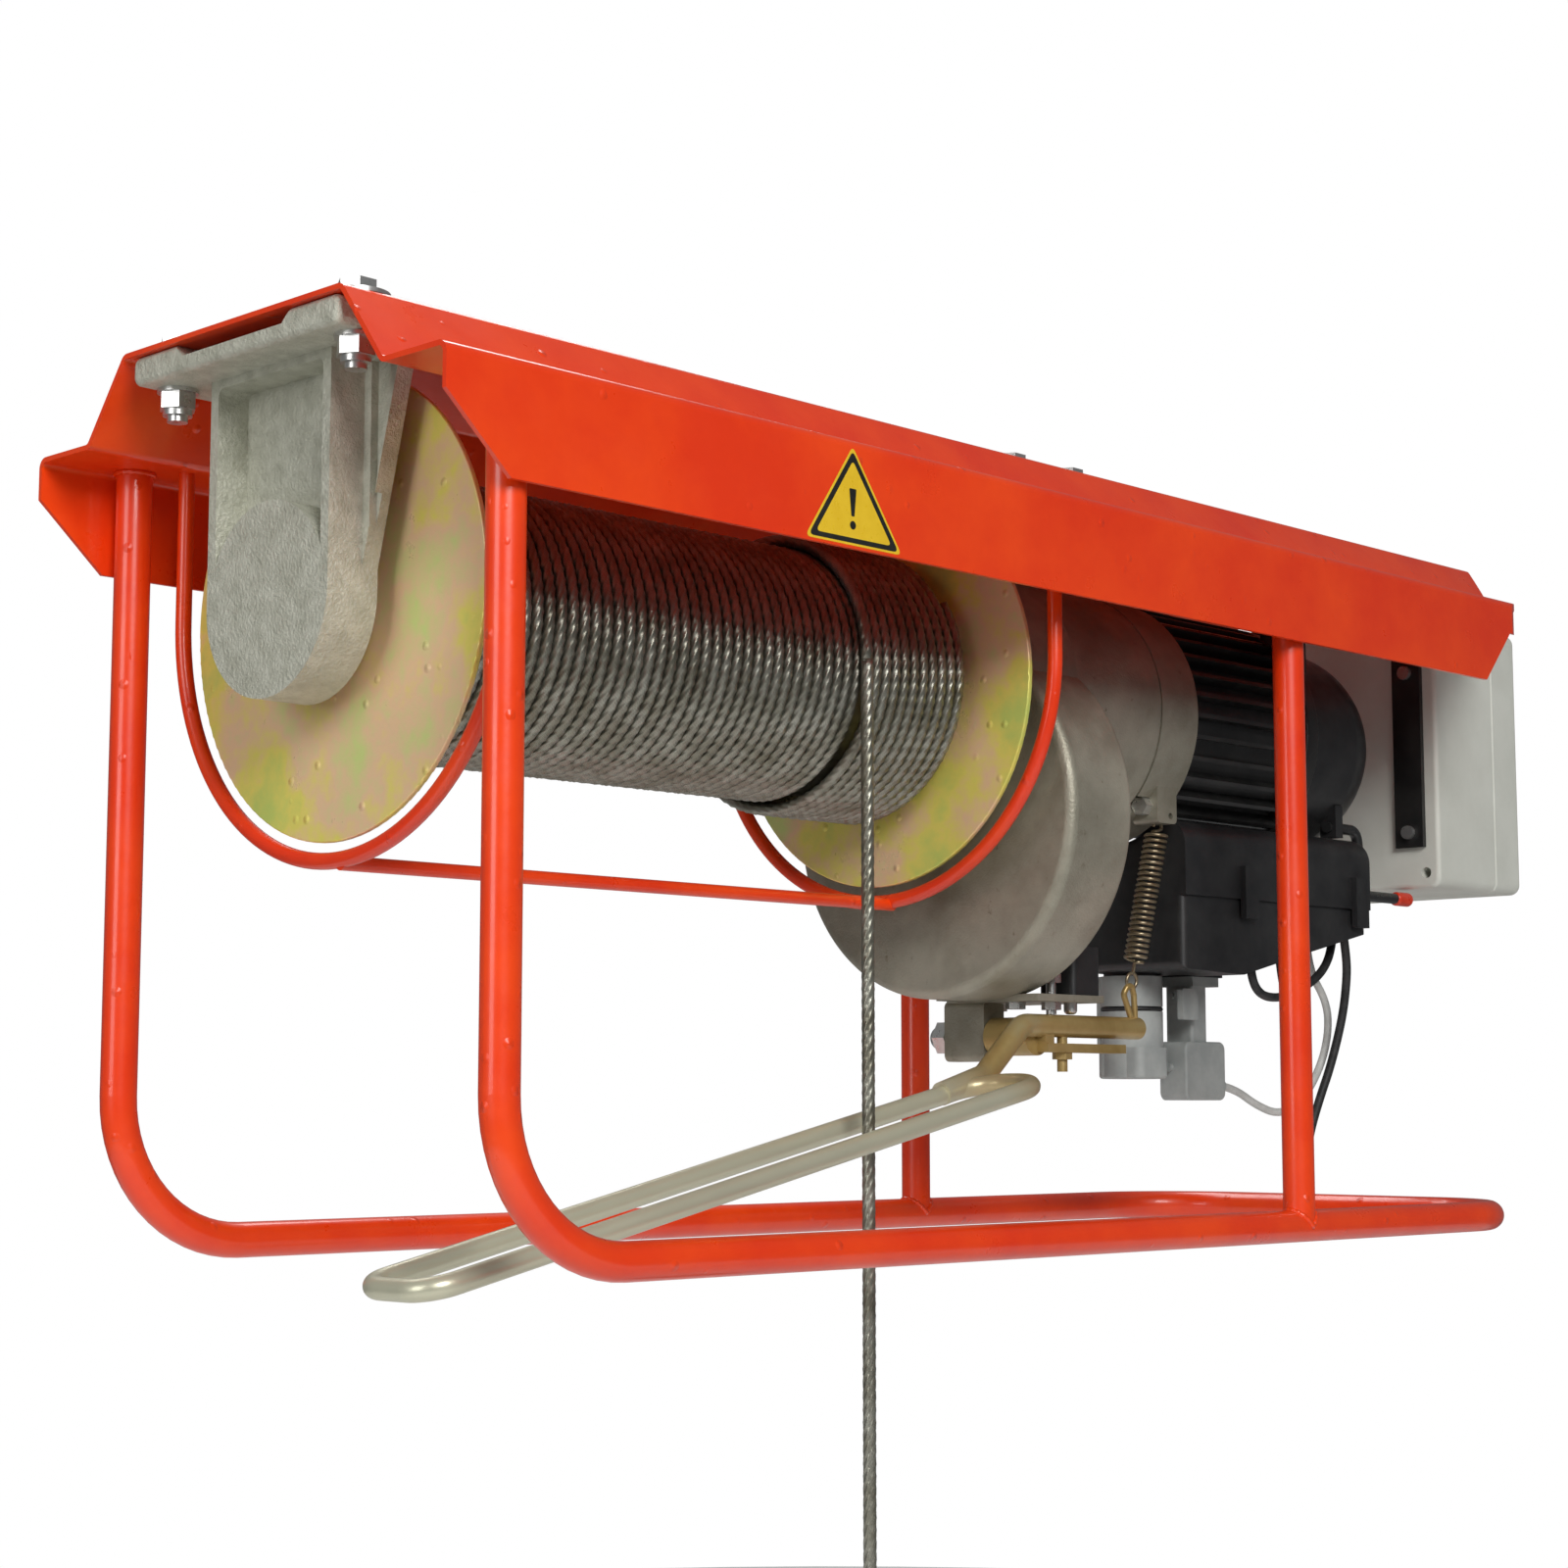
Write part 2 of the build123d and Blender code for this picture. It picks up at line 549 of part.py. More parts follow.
def motor_endshield():
    """Rear bearing shield with the hanger foot that reaches up to the canopy."""
    shield = rod_x(HOUSING_END_X, RIM_END_X, 0, AXIS_Z, FIN_R)
    shield = fillet(shield.edges().filter_by(GeomType.CIRCLE), 1.5)
    shield = shield - rod_x(HOUSING_END_X - 1, HOUSING_END_X + 9, 0, AXIS_Z, 19.9)
    shield = shield - ring_x(HOUSING_END_X - 1, HOUSING_END_X + 7, HOUSING_R - 6, 26)
    foot = solid_box(RIM_END_X - 12, RIM_END_X, -66, -40, AXIS_Z + 40, CASE_TOP_Z)
    foot = foot + solid_box(RIM_END_X - 12, RIM_END_X, 40, 66, AXIS_Z + 40, CASE_TOP_Z)
    return shield + foot - rod_x(HOUSING_END_X - 1, RIM_END_X + 1, 0, AXIS_Z, 9)


def fan_cover():
    """Domed cover over the fan and brake."""
    def dome(wall):
        path = [Line((RIM_END_X, 0, 0), (RIM_END_X, 0, DOME_R - wall)),
                Line((RIM_END_X, 0, DOME_R - wall), (RIM_END_X + 56, 0, DOME_R - wall)),
                ThreePointArc((RIM_END_X + 56, 0, DOME_R - wall),
                              (DOME_END_X - 16 - wall * 0.7, 0, 0.78 * DOME_R - wall * 0.7),
                              (DOME_END_X - wall, 0, 0.36 * DOME_R)),
                Line((DOME_END_X - wall, 0, 0.36 * DOME_R), (DOME_END_X - wall, 0, 0)),
                Line((DOME_END_X - wall, 0, 0), (RIM_END_X, 0, 0))]
        return Pos(0, 0, AXIS_Z) * revolve(make_face(path), axis=Axis.X)
    lug = solid_box(388, 396, RELEASE_Y - 6, RELEASE_Y + 6, RELEASE_Z - 6.7, RELEASE_Z + 14)
    cover = dome(0) + lug - dome(2.5)
    cover = cover - rod_x(380, 410, RELEASE_Y, RELEASE_Z, RELEASE_R + 0.1)
    for index in range(12):
        slot = solid_box(DOME_END_X - 12, DOME_END_X + 2, -1.5, 1.5, 8, 19)
        cover = cover - Pos(0, 0, AXIS_Z) * Rot(30 * index, 0, 0) * slot
    return cover


def motor_tie_rods():
    rods = []
    for angle in (35, 145, 215, 325):
        y = 71 * math.sin(math.radians(angle))
        z = AXIS_Z + 71 * math.cos(math.radians(angle))
        rods.append(rod_x(HOUSING_X, HOUSING_END_X, y, z, 2.4))
    return group(*rods)


def rotor_shaft():
    """Motor shaft, cut at its end as the first-stage pinion."""
    shaft = rod_x(84, 112, 0, AXIS_Z, 8.5) + rod_x(112, 206, 0, AXIS_Z, 10) + rod_x(206, 322, 0, AXIS_Z, 11)
    shaft = shaft + rod_x(322, 424, 0, AXIS_Z, 8.5)
    return shaft + gear(PINION_TEETH, STAGE_MODULE, -90 + 180 / PINION_TEETH, 69, 15, AXIS_Z)


def cooling_fan():
    """Fan disc with radial blades, on the rear of the motor shaft."""
    fan = ring_x(404, 420, 16, 8.5) + ring_x(404, 407, 48, 8.5)
    for index in range(8):
        blade = solid_box(407, 424, -1.2, 1.2, 14, 46)
        fan = fan + Pos(0, 0, AXIS_Z) * Rot(45 * index, 0, 0) * blade
    return fan


def brake_coil():
    """Electromagnet housing of the holding brake, on the rear shield."""
    return fillet(ring_x(342, 370, 54, 12).edges().filter_by(GeomType.CIRCLE), 1.5)


def brake_disc():
    """Friction disc on the motor shaft."""
    return ring_x(374, 384, 50, 8.5)


def brake_armature():
    """Spring-loaded pressure plates that squeeze the friction disc, fixed to the coil by three studs."""
    plate = ring_x(386, 392, 54, 12)
    for angle in (90, 210, 330):
        y = 52.5 * math.sin(math.radians(angle))
        z = AXIS_Z + 52.5 * math.cos(math.radians(angle))
        plate = plate + rod_x(370, 392, y, z, 2.2)
    return plate


# ---- electrical boxes ----

def terminal_box():
    """Moulded box under the motor, with a sloped bottom, open at the top of its lid joint."""
    outline = make_face(Plane.XZ * Polyline((214, -232), (214, -276), (275, -278), (340, -263), (412, -247),
                                            (412, -232), close=True))
    body = Pos(0, 16, 0) * extrude(outline, 76, dir=(0, -1, 0))
    body = fillet(body.edges().filter_by(Axis.Z) + body.edges().filter_by(Axis.Y).sort_by(Axis.Z)[:4], 5)
    body = body + solid_box(262, 300, POST_FRONT_Y - 2, 6, -278.2, -262)
    body = body + rod_z(INLET_SEAT_Z, -262, INLET_X, 0, 17)
    inside = solid_box(220, 406, -54, 10, -242, -230) + solid_box(220, 340, -54, 10, -257, -230)
    return body - inside


def terminal_box_lid():
    """Upper half of the box, rounded over and saddled to the motor, with its clips."""
    lid = solid_box(214, 414, -62, 18, -232, -186)
    lid = fillet(lid.edges().filter_by(Axis.X).sort_by(Axis.Z)[-2:], 16)
    lid = lid - rod_x(200, 430, 0, AXIS_Z, FIN_R + 0.4)
    lid = lid - solid_box(220, 408, -56, 12, -233, -212)
    for x in (270, 392):
        lid = lid + solid_box(x, x + 14, -66, -62, -244, -212)
    return lid


def run_capacitor():
    return fillet(rod_x(240, 330, -20, -241, 13).edges().filter_by(GeomType.CIRCLE), 2)


def control_box_base():
    """Back half of the control enclosure, facing the motor."""
    base = solid_box(476, 548, -76, 76, -214, -34)
    base = fillet(base.edges().filter_by(Axis.X), 7)
    base = fillet(base.faces().sort_by(Axis.X)[0].edges(), 3)
    base = chamfer(base.faces().sort_by(Axis.X)[-1].edges(), 0.9)
    base = base - solid_box(479, 560, -72, 72, -210, -38)
    for y in (-66, 66):
        for z in (-204, -44):
            base = base + rod_x(478, 548, y, z, 6.5)
            base = base - rod_x(470, 500, y, z, 3.6)
    return base


def control_box_lid():
    """Front half of the control enclosure, away from the motor."""
    lid = solid_box(548, 582, -76, 76, -214, -34)
    lid = fillet(lid.edges().filter_by(Axis.X), 7)
    lid = fillet(lid.faces().sort_by(Axis.X)[-1].edges(), 5)
    lid = chamfer(lid.faces().sort_by(Axis.X)[0].edges(), 0.9)
    return lid - solid_box(540, 579, -72, 72, -210, -38)


def contactor():
    """Reversing contactor and its rail, inside the control enclosure."""
    body = solid_box(490, 535, -50, 40, -160, -80)
    return body + solid_box(479.2, 490, -60, 60, -136, -104)


def box_straps():
    """Two flat straps that carry the control enclosure from the canopy."""
    straps = []
    for y in (-STRAP_Y, STRAP_Y):
        strap = solid_box(472, 475.8, y - 10.5, y + 10.5, STRAP_BOTTOM_Z, CASE_TOP_Z)
        strap = strap + solid_box(438, 475.8, y - 10.5, y + 10.5, CASE_TOP_Z - 4, CASE_TOP_Z)
        strap = strap - rod_z(-20, 5, STRAP_BOLT_X, y, 4.3)
        straps.append(strap)
    return group(*straps)


def strap_screws():
    """Pan-head screws that hold the enclosure to its straps."""
    return group(*[rod_x(469, 472, y, z, 4.5) for y in (-STRAP_Y, STRAP_Y) for z in (-70, STRAP_BOTTOM_Z + 10)])


def brake_release():
    """Hand release lever of the brake: a bent rod with a knob."""
    rod = bent_rod([(386, RELEASE_Y, RELEASE_Z), (421, RELEASE_Y, RELEASE_Z), (425, RELEASE_Y, RELEASE_KNOB_Z),
                    (470, RELEASE_Y, RELEASE_KNOB_Z)], [8, 8], RELEASE_R)
    knob = rod_x(465, 482, RELEASE_Y, RELEASE_KNOB_Z, 4.6)
    return rod + fillet(knob.edges().filter_by(GeomType.CIRCLE), 2)


# ---- limit switch and lever ----

def pivot_block():
    """Cast block under the gear case that carries the lever pivot and the switch plate."""
    block = solid_box(91, 109, BLOCK_FRONT_Y, BLOCK_BACK_Y, -332, -297)
    block = fillet(block.edges().filter_by(Axis.Y), 4)
    plate = solid_box(84, 144, -54, 14, PLATE_Z, PLATE_Z + 4)
    neck = solid_box(84, 109, -26, BLOCK_BACK_Y, -297, -284)
    block = block + plate + neck
    block = block - rod_y(BLOCK_FRONT_Y - 5, BLOCK_BACK_Y + 5, LEVER_PIVOT_X, LEVER_PIVOT_Z, STUD_R)
    for x, y, radius in ((SWITCH_X, ARM_Y, 4.2), (STOP_X, ARM_Y, 3.0), *[(x, y, 3.0) for x, y in PLATE_BOLTS]):
        block = block - rod_z(PLATE_Z - 1, PLATE_Z + 4, x, y, radius)
    return block - case_solid(CASE_LEFT_X - 5, 130, 0)


def pivot_stud():
    """Lever pivot: a stud that the eye turns on, held in the block by an acorn nut behind."""
    stud = rod_y(-34.5, BLOCK_BACK_Y + 2, LEVER_PIVOT_X, LEVER_PIVOT_Z, STUD_R)
    place = Pos(LEVER_PIVOT_X, BLOCK_BACK_Y, LEVER_PIVOT_Z) * Rot(-90, 0, 0)
    nut = place * extrude(RegularPolygon(10.4, 6), 9)
    dome = Pos(LEVER_PIVOT_X, BLOCK_BACK_Y + 9, LEVER_PIVOT_Z) * Sphere(7.5)
    return stud + nut + dome


def stop_screw():
    """Adjusting screw through the switch plate that the lever arm rests under, with its lock nut below."""
    screw = rod_z(ARM_Z + ARM_ROD_R + 0.1, PLATE_Z + 16, STOP_X, ARM_Y, 3.0)
    return screw + hex_z(PLATE_Z, PLATE_Z - 4.5, STOP_X, ARM_Y, 10) + hex_z(PLATE_Z + 11, PLATE_Z + 16, STOP_X, ARM_Y, 10)


def plate_bolts():
    """Short bolts that hold the switch plate up to the gear case."""
    return [hex_z(PLATE_Z, PLATE_Z - 4, x, y, 10) + rod_z(PLATE_Z, PLATE_Z + 3.9, x, y, 3.0)
            for x, y in PLATE_BOLTS]


def lug_bolt():
    """Bolt along the adapter's lug, above the spring's hole."""
    head = Plane.YZ.offset(LUG_X0 - 6) * Pos(LUG_Y, LUG_BOLT_Z) * RegularPolygon(5.8, 6)
    return rod_x(LUG_X0, LUG_X1 + 2, LUG_Y, LUG_BOLT_Z, 2.5) + extrude(head, 6, dir=(1, 0, 0))


def limit_switch():
    """Switch body on the plate, with the guide for its plunger."""
    body = fillet(solid_box(117, 143, -53, -27, PLATE_Z + 4, PLATE_Z + 32).edges().filter_by(Axis.Z), 4)
    return body - rod_z(PLATE_Z + 3, PLATE_Z + 15, SWITCH_X, ARM_Y, 4.2)


def switch_plunger():
    radius = 3.9
    dome = 2.6
    rest_gap = 0.3
    plunger = rod_z(ARM_Z + ARM_ROD_R + rest_gap, PLATE_Z + 12, SWITCH_X, ARM_Y, radius)
    return fillet(plunger.edges().filter_by(GeomType.CIRCLE), dome)


def limit_lever():
    """Welded lever: the rod loop round the rope, the crank, the arm, its pivot eye and the spring eye."""
    y_far = LOOP_Y + LOOP_HALF
    y_near = LOOP_Y - LOOP_HALF
    corners = [(LOOP_RIGHT_X, y_far, LOOP_RIGHT_Z), (LOOP_RIGHT_X, y_near, LOOP_RIGHT_Z),
               (LOOP_LEFT_X, y_near, LOOP_LEFT_Z), (LOOP_LEFT_X, y_far, LOOP_LEFT_Z)]
    path = FilletPolyline(*corners, radius=[22, 22, 15, 15], close=True)
    loop = sweep(Plane(origin=path @ 0, z_dir=path % 0) * Circle(LOOP_ROD_R), path=path)
    arm = bent_rod([(ARM_END_X, ARM_Y, ARM_Z), (84, ARM_Y, ARM_Z), (48, ARM_Y - 2, -341), (10, ARM_Y - 4, -351)],
                   [14, 14], ARM_ROD_R)
    eye = rod_y(-40, BLOCK_FRONT_Y - 1, LEVER_PIVOT_X, LEVER_PIVOT_Z, 11)
    tab = solid_box(100, 172, -48, -36, -327, -322) + solid_box(100, 108, -46, -38, -323, -312)
    screw = rod_z(-338, -318, 120, ARM_Y, 3) + hex_z(-331, -327, 120, ARM_Y, 10)
    wire = bent_rod([(189, ARM_Y, ARM_Z + 4), (188, ARM_Y, -292), (182, ARM_Y - 2, -284), (178, ARM_Y, -292),
                     (186, ARM_Y, ARM_Z + 4)], [3, 3.5, 3], 1.8)
    lever = loop + arm + eye + tab + screw + wire
    return lever - rod_y(-35, 0, LEVER_PIVOT_X, LEVER_PIVOT_Z, STUD_R + 0.08)


def lever_spring():
    """Extension spring between the lever's wire eye and the adapter lug, as a sleeve of its coils."""
    top = Vector(200, LUG_Y, -190)
    bottom = Vector(185, ARM_Y - 1, -284)
    along = (top - bottom).normalized()
    plane = Plane(origin=bottom, z_dir=along)
    length = (top - bottom).length
    coils = plane * Pos(0, 0, length / 2) * (Cylinder(7.5, length - 20) - Cylinder(5.5, length))
    return coils


# ---- connectors under the motor ----

def power_inlet():
    """Grey inlet housing under the terminal box: round above, squared at its foot."""
    body = rod_z(-341, -300, INLET_X, 0, 19)
    foot = fillet(solid_box(INLET_X - 17, INLET_X + 13, -19, 15, -341, -322).edges().filter_by(Axis.Z), 5)
    body = body + foot
    body = fillet(body.faces().sort_by(Axis.Z)[0].edges(), 2)
    body = body + rod_z(-300, -297, INLET_X, 0, 17.5) + rod_z(-297, INLET_SEAT_Z, INLET_X, 0, 19)
    return body + solid_box(228, 264, 6, 17, -320, INLET_SEAT_Z)


def connector_base():
    """Bulkhead post of the control connector, with the locking lever's pin."""
    post = solid_box(270, 286, POST_FRONT_Y, POST_FRONT_Y + 20, HOOD_TOP_Z, -278.2)
    post = fillet(post.edges().filter_by(Axis.Z), 2)
    flange = solid_box(269, 296, POST_FRONT_Y - 1.8, POST_FRONT_Y + 26, -284, -278.2)
    return post + flange + rod_x(262.5, 272, POST_FRONT_Y + 10, LOCK_Z, 1.5)


def connector_hood():
    """Square hood of the control connector, with its cable gland."""
    hood = solid_box(261, 302, -26, -6, -354, HOOD_TOP_Z)
    hood = fillet(hood.edges().filter_by(Axis.Y), 5)
    hood = fillet(hood.faces().sort_by(Axis.Y)[0].edges(), 1.5)
    hood = hood + rod_x(258, 261, -14, -334, 2.5) + rod_x(302, 304.5, -14, -328, 2.5)
    return hood + rod_x(300, 308, -18, -345, 4)


def hood_lever():
    """Locking lever of the control connector, pivoted on the post's pin."""
    lever = solid_box(252, 268, POST_FRONT_Y - 6.5, POST_FRONT_Y - 2.5, -305, LOCK_Z + 4)
    lever = fillet(lever.edges().filter_by(Axis.Y), 1.5)
    lever = lever + solid_box(264.4, 268, POST_FRONT_Y - 3, POST_FRONT_Y + 13, LOCK_Z - 4, LOCK_Z + 3.5)
    return lever - rod_x(260, 269, POST_FRONT_Y + 10, LOCK_Z, 1.6)


# ---- cables and rope ----

WHITE_D = 5.0
BLACK_D = 5.5
WHITE_ROUTE = [(308, -18, -345), (322, -18.6, -347), (341, -21, -357), (361, -24, -363), (383, -26, -356),
               (403, -28, -334), (414, -28, -311), (416, -26, -290), (401, -22, -269), (399.5, -22, -247.5)]
LOOP_ROUTE = [(299, -48, -271.5), (300.5, -48, -280), (307, -48, -287.5), (318, -48, -290.5),
              (336, -48, -289.5), (357, -47, -283.5), (377, -45, -275.5), (391, -42.5, -267),
              (400, -40.5, -257), (403.5, -40, -246)]
LONG_ROUTE = [(395.5, -53, -248.5), (400, -52, -262), (403, -50, -276), (405, -45, -300), (401, -38, -331),
              (395, -33, -352), (390.5, -28.5, -372), (388.2, -25.8, -390.6), (394.8, -19.2, -400),
              (404.2, -9.8, -400), (410.8, -3.2, -390.6), (412.5, -2, -372), (413.5, -1, -348),
              (413, 0, -318), (410, 1, -290), (404, 2, -268), (402, 2, -247.5)]


def cable(name, route, diameter):
    """A cable as straight runs joined by arcs as large as the runs allow."""
    radii = []
    for before, here, after in zip(route, route[1:], route[2:]):
        run_in = Vector(*here) - Vector(*before)
        run_out = Vector(*after) - Vector(*here)
        turn = math.radians(run_in.get_angle(run_out))
        radii.append(0.45 * min(run_in.length, run_out.length) / math.tan(turn / 2))
    path = FilletPolyline(*route, radius=radii)
    section = Plane(origin=path @ 0, z_dir=path % 0) * Circle(diameter / 2)
    tube = sweep(section, path=path)
    share = tube.volume / (math.pi * diameter ** 2 / 4 * path.length)
    print(name, "length", round(path.length, 1), "volume share", round(share, 4),
          "radii", [round(radius, 1) for radius in radii])
    return tube


def hanging_rope():
    return rod_z(ROPE_END_Z, AXIS_Z, HANG_X, HANG_Y, ROPE_D / 2)


# ---- hook ----

WEIGHT_R = 30.0
WEIGHT_H = 66.0
HOOK_ROD_R = 7.0
LATCH_X = -4.0
LATCH_DZ = -30.0


def rope_weight():
    """Round rope weight that lifts the limit lever, with the swivel socket in its foot."""
    outline = [Line((0, 0, 0), (15, 0, 0)), Line((15, 0, 0), (WEIGHT_R, 0, -14)),
               Line((WEIGHT_R, 0, -14), (WEIGHT_R, 0, -WEIGHT_H + 10)),
               Line((WEIGHT_R, 0, -WEIGHT_H + 10), (20, 0, -WEIGHT_H)),
               Line((20, 0, -WEIGHT_H), (0, 0, -WEIGHT_H)), Line((0, 0, -WEIGHT_H), (0, 0, 0))]
    weight = Pos(HANG_X, HANG_Y, ROPE_END_Z) * revolve(make_face(outline), axis=Axis.Z)
    foot_z = ROPE_END_Z - WEIGHT_H
    weight = weight - rod_z(foot_z - 1, foot_z + 30, HANG_X, HANG_Y, 8.05)
    return weight - rod_z(foot_z + 12, foot_z + 26, HANG_X, HANG_Y, 13.05)


def load_hook():
    """Swivel hook: headed shank, throat, bowl and the latch lug."""
    foot_z = ROPE_END_Z - WEIGHT_H
    shank = rod_z(foot_z + 25, foot_z - 12, 0, 0, 8.0)
    head = rod_z(foot_z + 13, foot_z + 25, 0, 0, 13.0)
    top = foot_z - 10
    bow = bent_rod([(0, 0, top), (0, 0, top - 18), (24, 0, top - 38), (24, 0, top - 90), (-24, 0, top - 90),
                    (-24, 0, top - 60)], [12, 14, 22, 22], HOOK_ROD_R)
    tip = Pos(-24, 0, top - 60) * Sphere(HOOK_ROD_R)
    lug = solid_box(-7, 8, -2.5, 2.5, top - 34, top - 22)
    hook = shank + head + bow + tip + lug
    hook = hook - rod_y(-10, 10, LATCH_X, top + LATCH_DZ, 1.56)
    return Pos(HANG_X, HANG_Y, 0) * hook


def safety_latch():
    """Sprung tongue that closes the hook's throat, with its pin."""
    top = ROPE_END_Z - WEIGHT_H - 10
    pin_z = top + LATCH_DZ
    latch = rod_y(-5.2, 5.2, LATCH_X, pin_z, 1.5)
    outline = [(LATCH_X + 3, pin_z - 1), (LATCH_X + 1, pin_z + 3), (LATCH_X - 3, pin_z + 2.5),
               (LATCH_X - 15, pin_z - 21), (LATCH_X - 11, pin_z - 24)]
    for y0 in (-5.0, 3.0):
        ear = make_face(Plane.XZ * Polyline(*outline, close=True))
        latch = latch + Pos(0, y0 + 2, 0) * extrude(ear, 2, dir=(0, -1, 0))
    strip = make_face(Plane.XZ * Polyline((LATCH_X - 5, pin_z - 10), (LATCH_X - 8, pin_z - 7.2),
                                          (LATCH_X - 15, pin_z - 21), (LATCH_X - 13, pin_z - 22.4),
                                          close=True))
    latch = latch + Pos(0, 5, 0) * extrude(strip, 10, dir=(0, -1, 0))
    return Pos(HANG_X, HANG_Y, 0) * latch


def main():
    os.makedirs("parts", exist_ok=True)
    save(canopy_cover(), "canopy_cover")
    save(base_tube(), "base_tube")
    save(right_leg(-1), "right_leg_front")
    save(right_leg(1), "right_leg_rear")
    guard_left = rope_guard(FLANGE_LEFT_X + FLANGE_T / 2)
    guard_right = rope_guard(FLANGE_RIGHT_X + FLANGE_T / 2)
    tie = rod_x(FLANGE_LEFT_X, FLANGE_RIGHT_X + FLANGE_T, -8, GUARD_BOTTOM_Z - 1.5, TIE_R)
    save(guard_left, "rope_guard_left")
    save(guard_right, "rope_guard_right")
    tie = (tie - guard_left - guard_right).solids().sort_by(SortBy.VOLUME)[-1]
    save(tie, "guard_tie_bar")
    save(bearing_bracket(), "bearing_bracket")
    save(canopy_fasteners(), "canopy_fasteners")
    save(group(ball_bearing(PLATE_BACK_X - BEARING_W, BEARING_W, BEARING_R, SHAFT_R + RUN, AXIS_Z),
               ball_bearing(26, BEARING_W, BEARING_R, SHAFT_R + RUN, AXIS_Z)), "drum_bearings")
    save(gearbox_case(), "gearbox_case")
    save(gearbox_cover(), "gearbox_cover")
    save(group(ball_bearing(36, 10, 17.5, 7.5 + RUN, COUNTER_Z), ball_bearing(86, 10, 17.5, 7.5 + RUN, COUNTER_Z)),
         "countershaft_bearings")
    save(group(ball_bearing(94, 12, 20, 8.5 + RUN, AXIS_Z), ball_bearing(190, 14, 23.5, 10 + RUN, AXIS_Z),
               ball_bearing(HOUSING_END_X - 3, 12, 19.9, 8.5 + RUN, AXIS_Z)), "rotor_bearings")
    save(drum_tube(), "drum_tube")
    save(drum_flanges(), "drum_flanges")
    save(drum_shaft(), "drum_shaft")
    save(drum_gear(), "drum_gear")
    save(wound_rope(), "wound_rope")
    save(rope_clamp(), "rope_clamp")
    save(countershaft(), "countershaft")
    save(intermediate_gear(), "intermediate_gear")
    save(motor_adapter(), "motor_adapter")
    save(motor_housing(), "motor_housing")
    save(motor_stator(), "motor_stator")
    save(motor_windings(), "motor_windings")
    save(motor_endshield(), "motor_endshield")
    save(fan_cover(), "fan_cover")
    save(motor_tie_rods(), "motor_tie_rods")
    save(rotor_shaft(), "rotor_shaft")
    save(ring_x(230, 310, ROTOR_R, 11), "rotor_core")
    save(cooling_fan(), "cooling_fan")
    save(group(brake_coil(), brake_armature()), "brake_magnet")
    save(brake_disc(), "brake_disc")
    save(terminal_box(), "terminal_box")
    save(terminal_box_lid(), "terminal_box_lid")
    save(run_capacitor(), "run_capacitor")
    save(control_box_base(), "control_box_base")
    save(control_box_lid(), "control_box_lid")
    save(contactor(), "contactor")
    save(box_straps(), "box_straps")
    save(strap_screws(), "strap_screws")
    save(brake_release(), "brake_release")
    save(pivot_block(), "pivot_block")
    save(group(pivot_stud(), stop_screw(), lug_bolt(), *plate_bolts()), "lever_fasteners")
    save(limit_switch(), "limit_switch")
    save(switch_plunger(), "switch_plunger")
    save(limit_lever(), "limit_lever")
    save(lever_spring(), "lever_spring")
    save(power_inlet(), "power_inlet")
    save(connector_base(), "connector_base")
    save(connector_hood(), "connector_hood")
    save(hood_lever(), "hood_lever")
    save(cable("white cable", WHITE_ROUTE, WHITE_D), "control_cable")
    save(cable("black loop", LOOP_ROUTE, BLACK_D), "motor_cable_loop")
    save(cable("black long", LONG_ROUTE, BLACK_D), "motor_cable_long")
    save(hanging_rope(), "hanging_rope")
    save(rope_weight(), "rope_weight")
    save(load_hook(), "load_hook")
    save(safety_latch(), "safety_latch")


main()
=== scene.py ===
import math
import bpy
import numpy as np
from mathutils import Matrix, Vector


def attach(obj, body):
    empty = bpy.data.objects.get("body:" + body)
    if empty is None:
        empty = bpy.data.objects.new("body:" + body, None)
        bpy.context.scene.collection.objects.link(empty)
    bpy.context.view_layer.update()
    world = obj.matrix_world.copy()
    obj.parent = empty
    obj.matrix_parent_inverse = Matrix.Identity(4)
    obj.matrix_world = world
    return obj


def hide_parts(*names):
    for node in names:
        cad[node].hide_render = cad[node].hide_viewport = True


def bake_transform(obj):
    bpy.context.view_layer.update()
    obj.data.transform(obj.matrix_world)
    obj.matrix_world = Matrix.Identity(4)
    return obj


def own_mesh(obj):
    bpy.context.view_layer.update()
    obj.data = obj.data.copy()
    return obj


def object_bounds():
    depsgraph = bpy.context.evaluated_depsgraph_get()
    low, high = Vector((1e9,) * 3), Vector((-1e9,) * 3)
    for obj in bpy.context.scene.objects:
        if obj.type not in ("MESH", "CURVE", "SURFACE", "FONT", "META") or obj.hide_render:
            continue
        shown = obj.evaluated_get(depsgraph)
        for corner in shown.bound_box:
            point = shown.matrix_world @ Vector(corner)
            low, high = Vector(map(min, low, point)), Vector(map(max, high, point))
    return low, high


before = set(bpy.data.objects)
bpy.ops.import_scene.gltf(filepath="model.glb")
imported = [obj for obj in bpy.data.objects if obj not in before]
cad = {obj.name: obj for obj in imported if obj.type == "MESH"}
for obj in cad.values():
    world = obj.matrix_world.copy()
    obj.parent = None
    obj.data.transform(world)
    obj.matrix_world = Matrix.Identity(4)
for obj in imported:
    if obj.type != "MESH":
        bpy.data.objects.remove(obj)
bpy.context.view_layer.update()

rng = np.random.default_rng(7)
scene = bpy.context.scene
TURN = 2 * math.pi

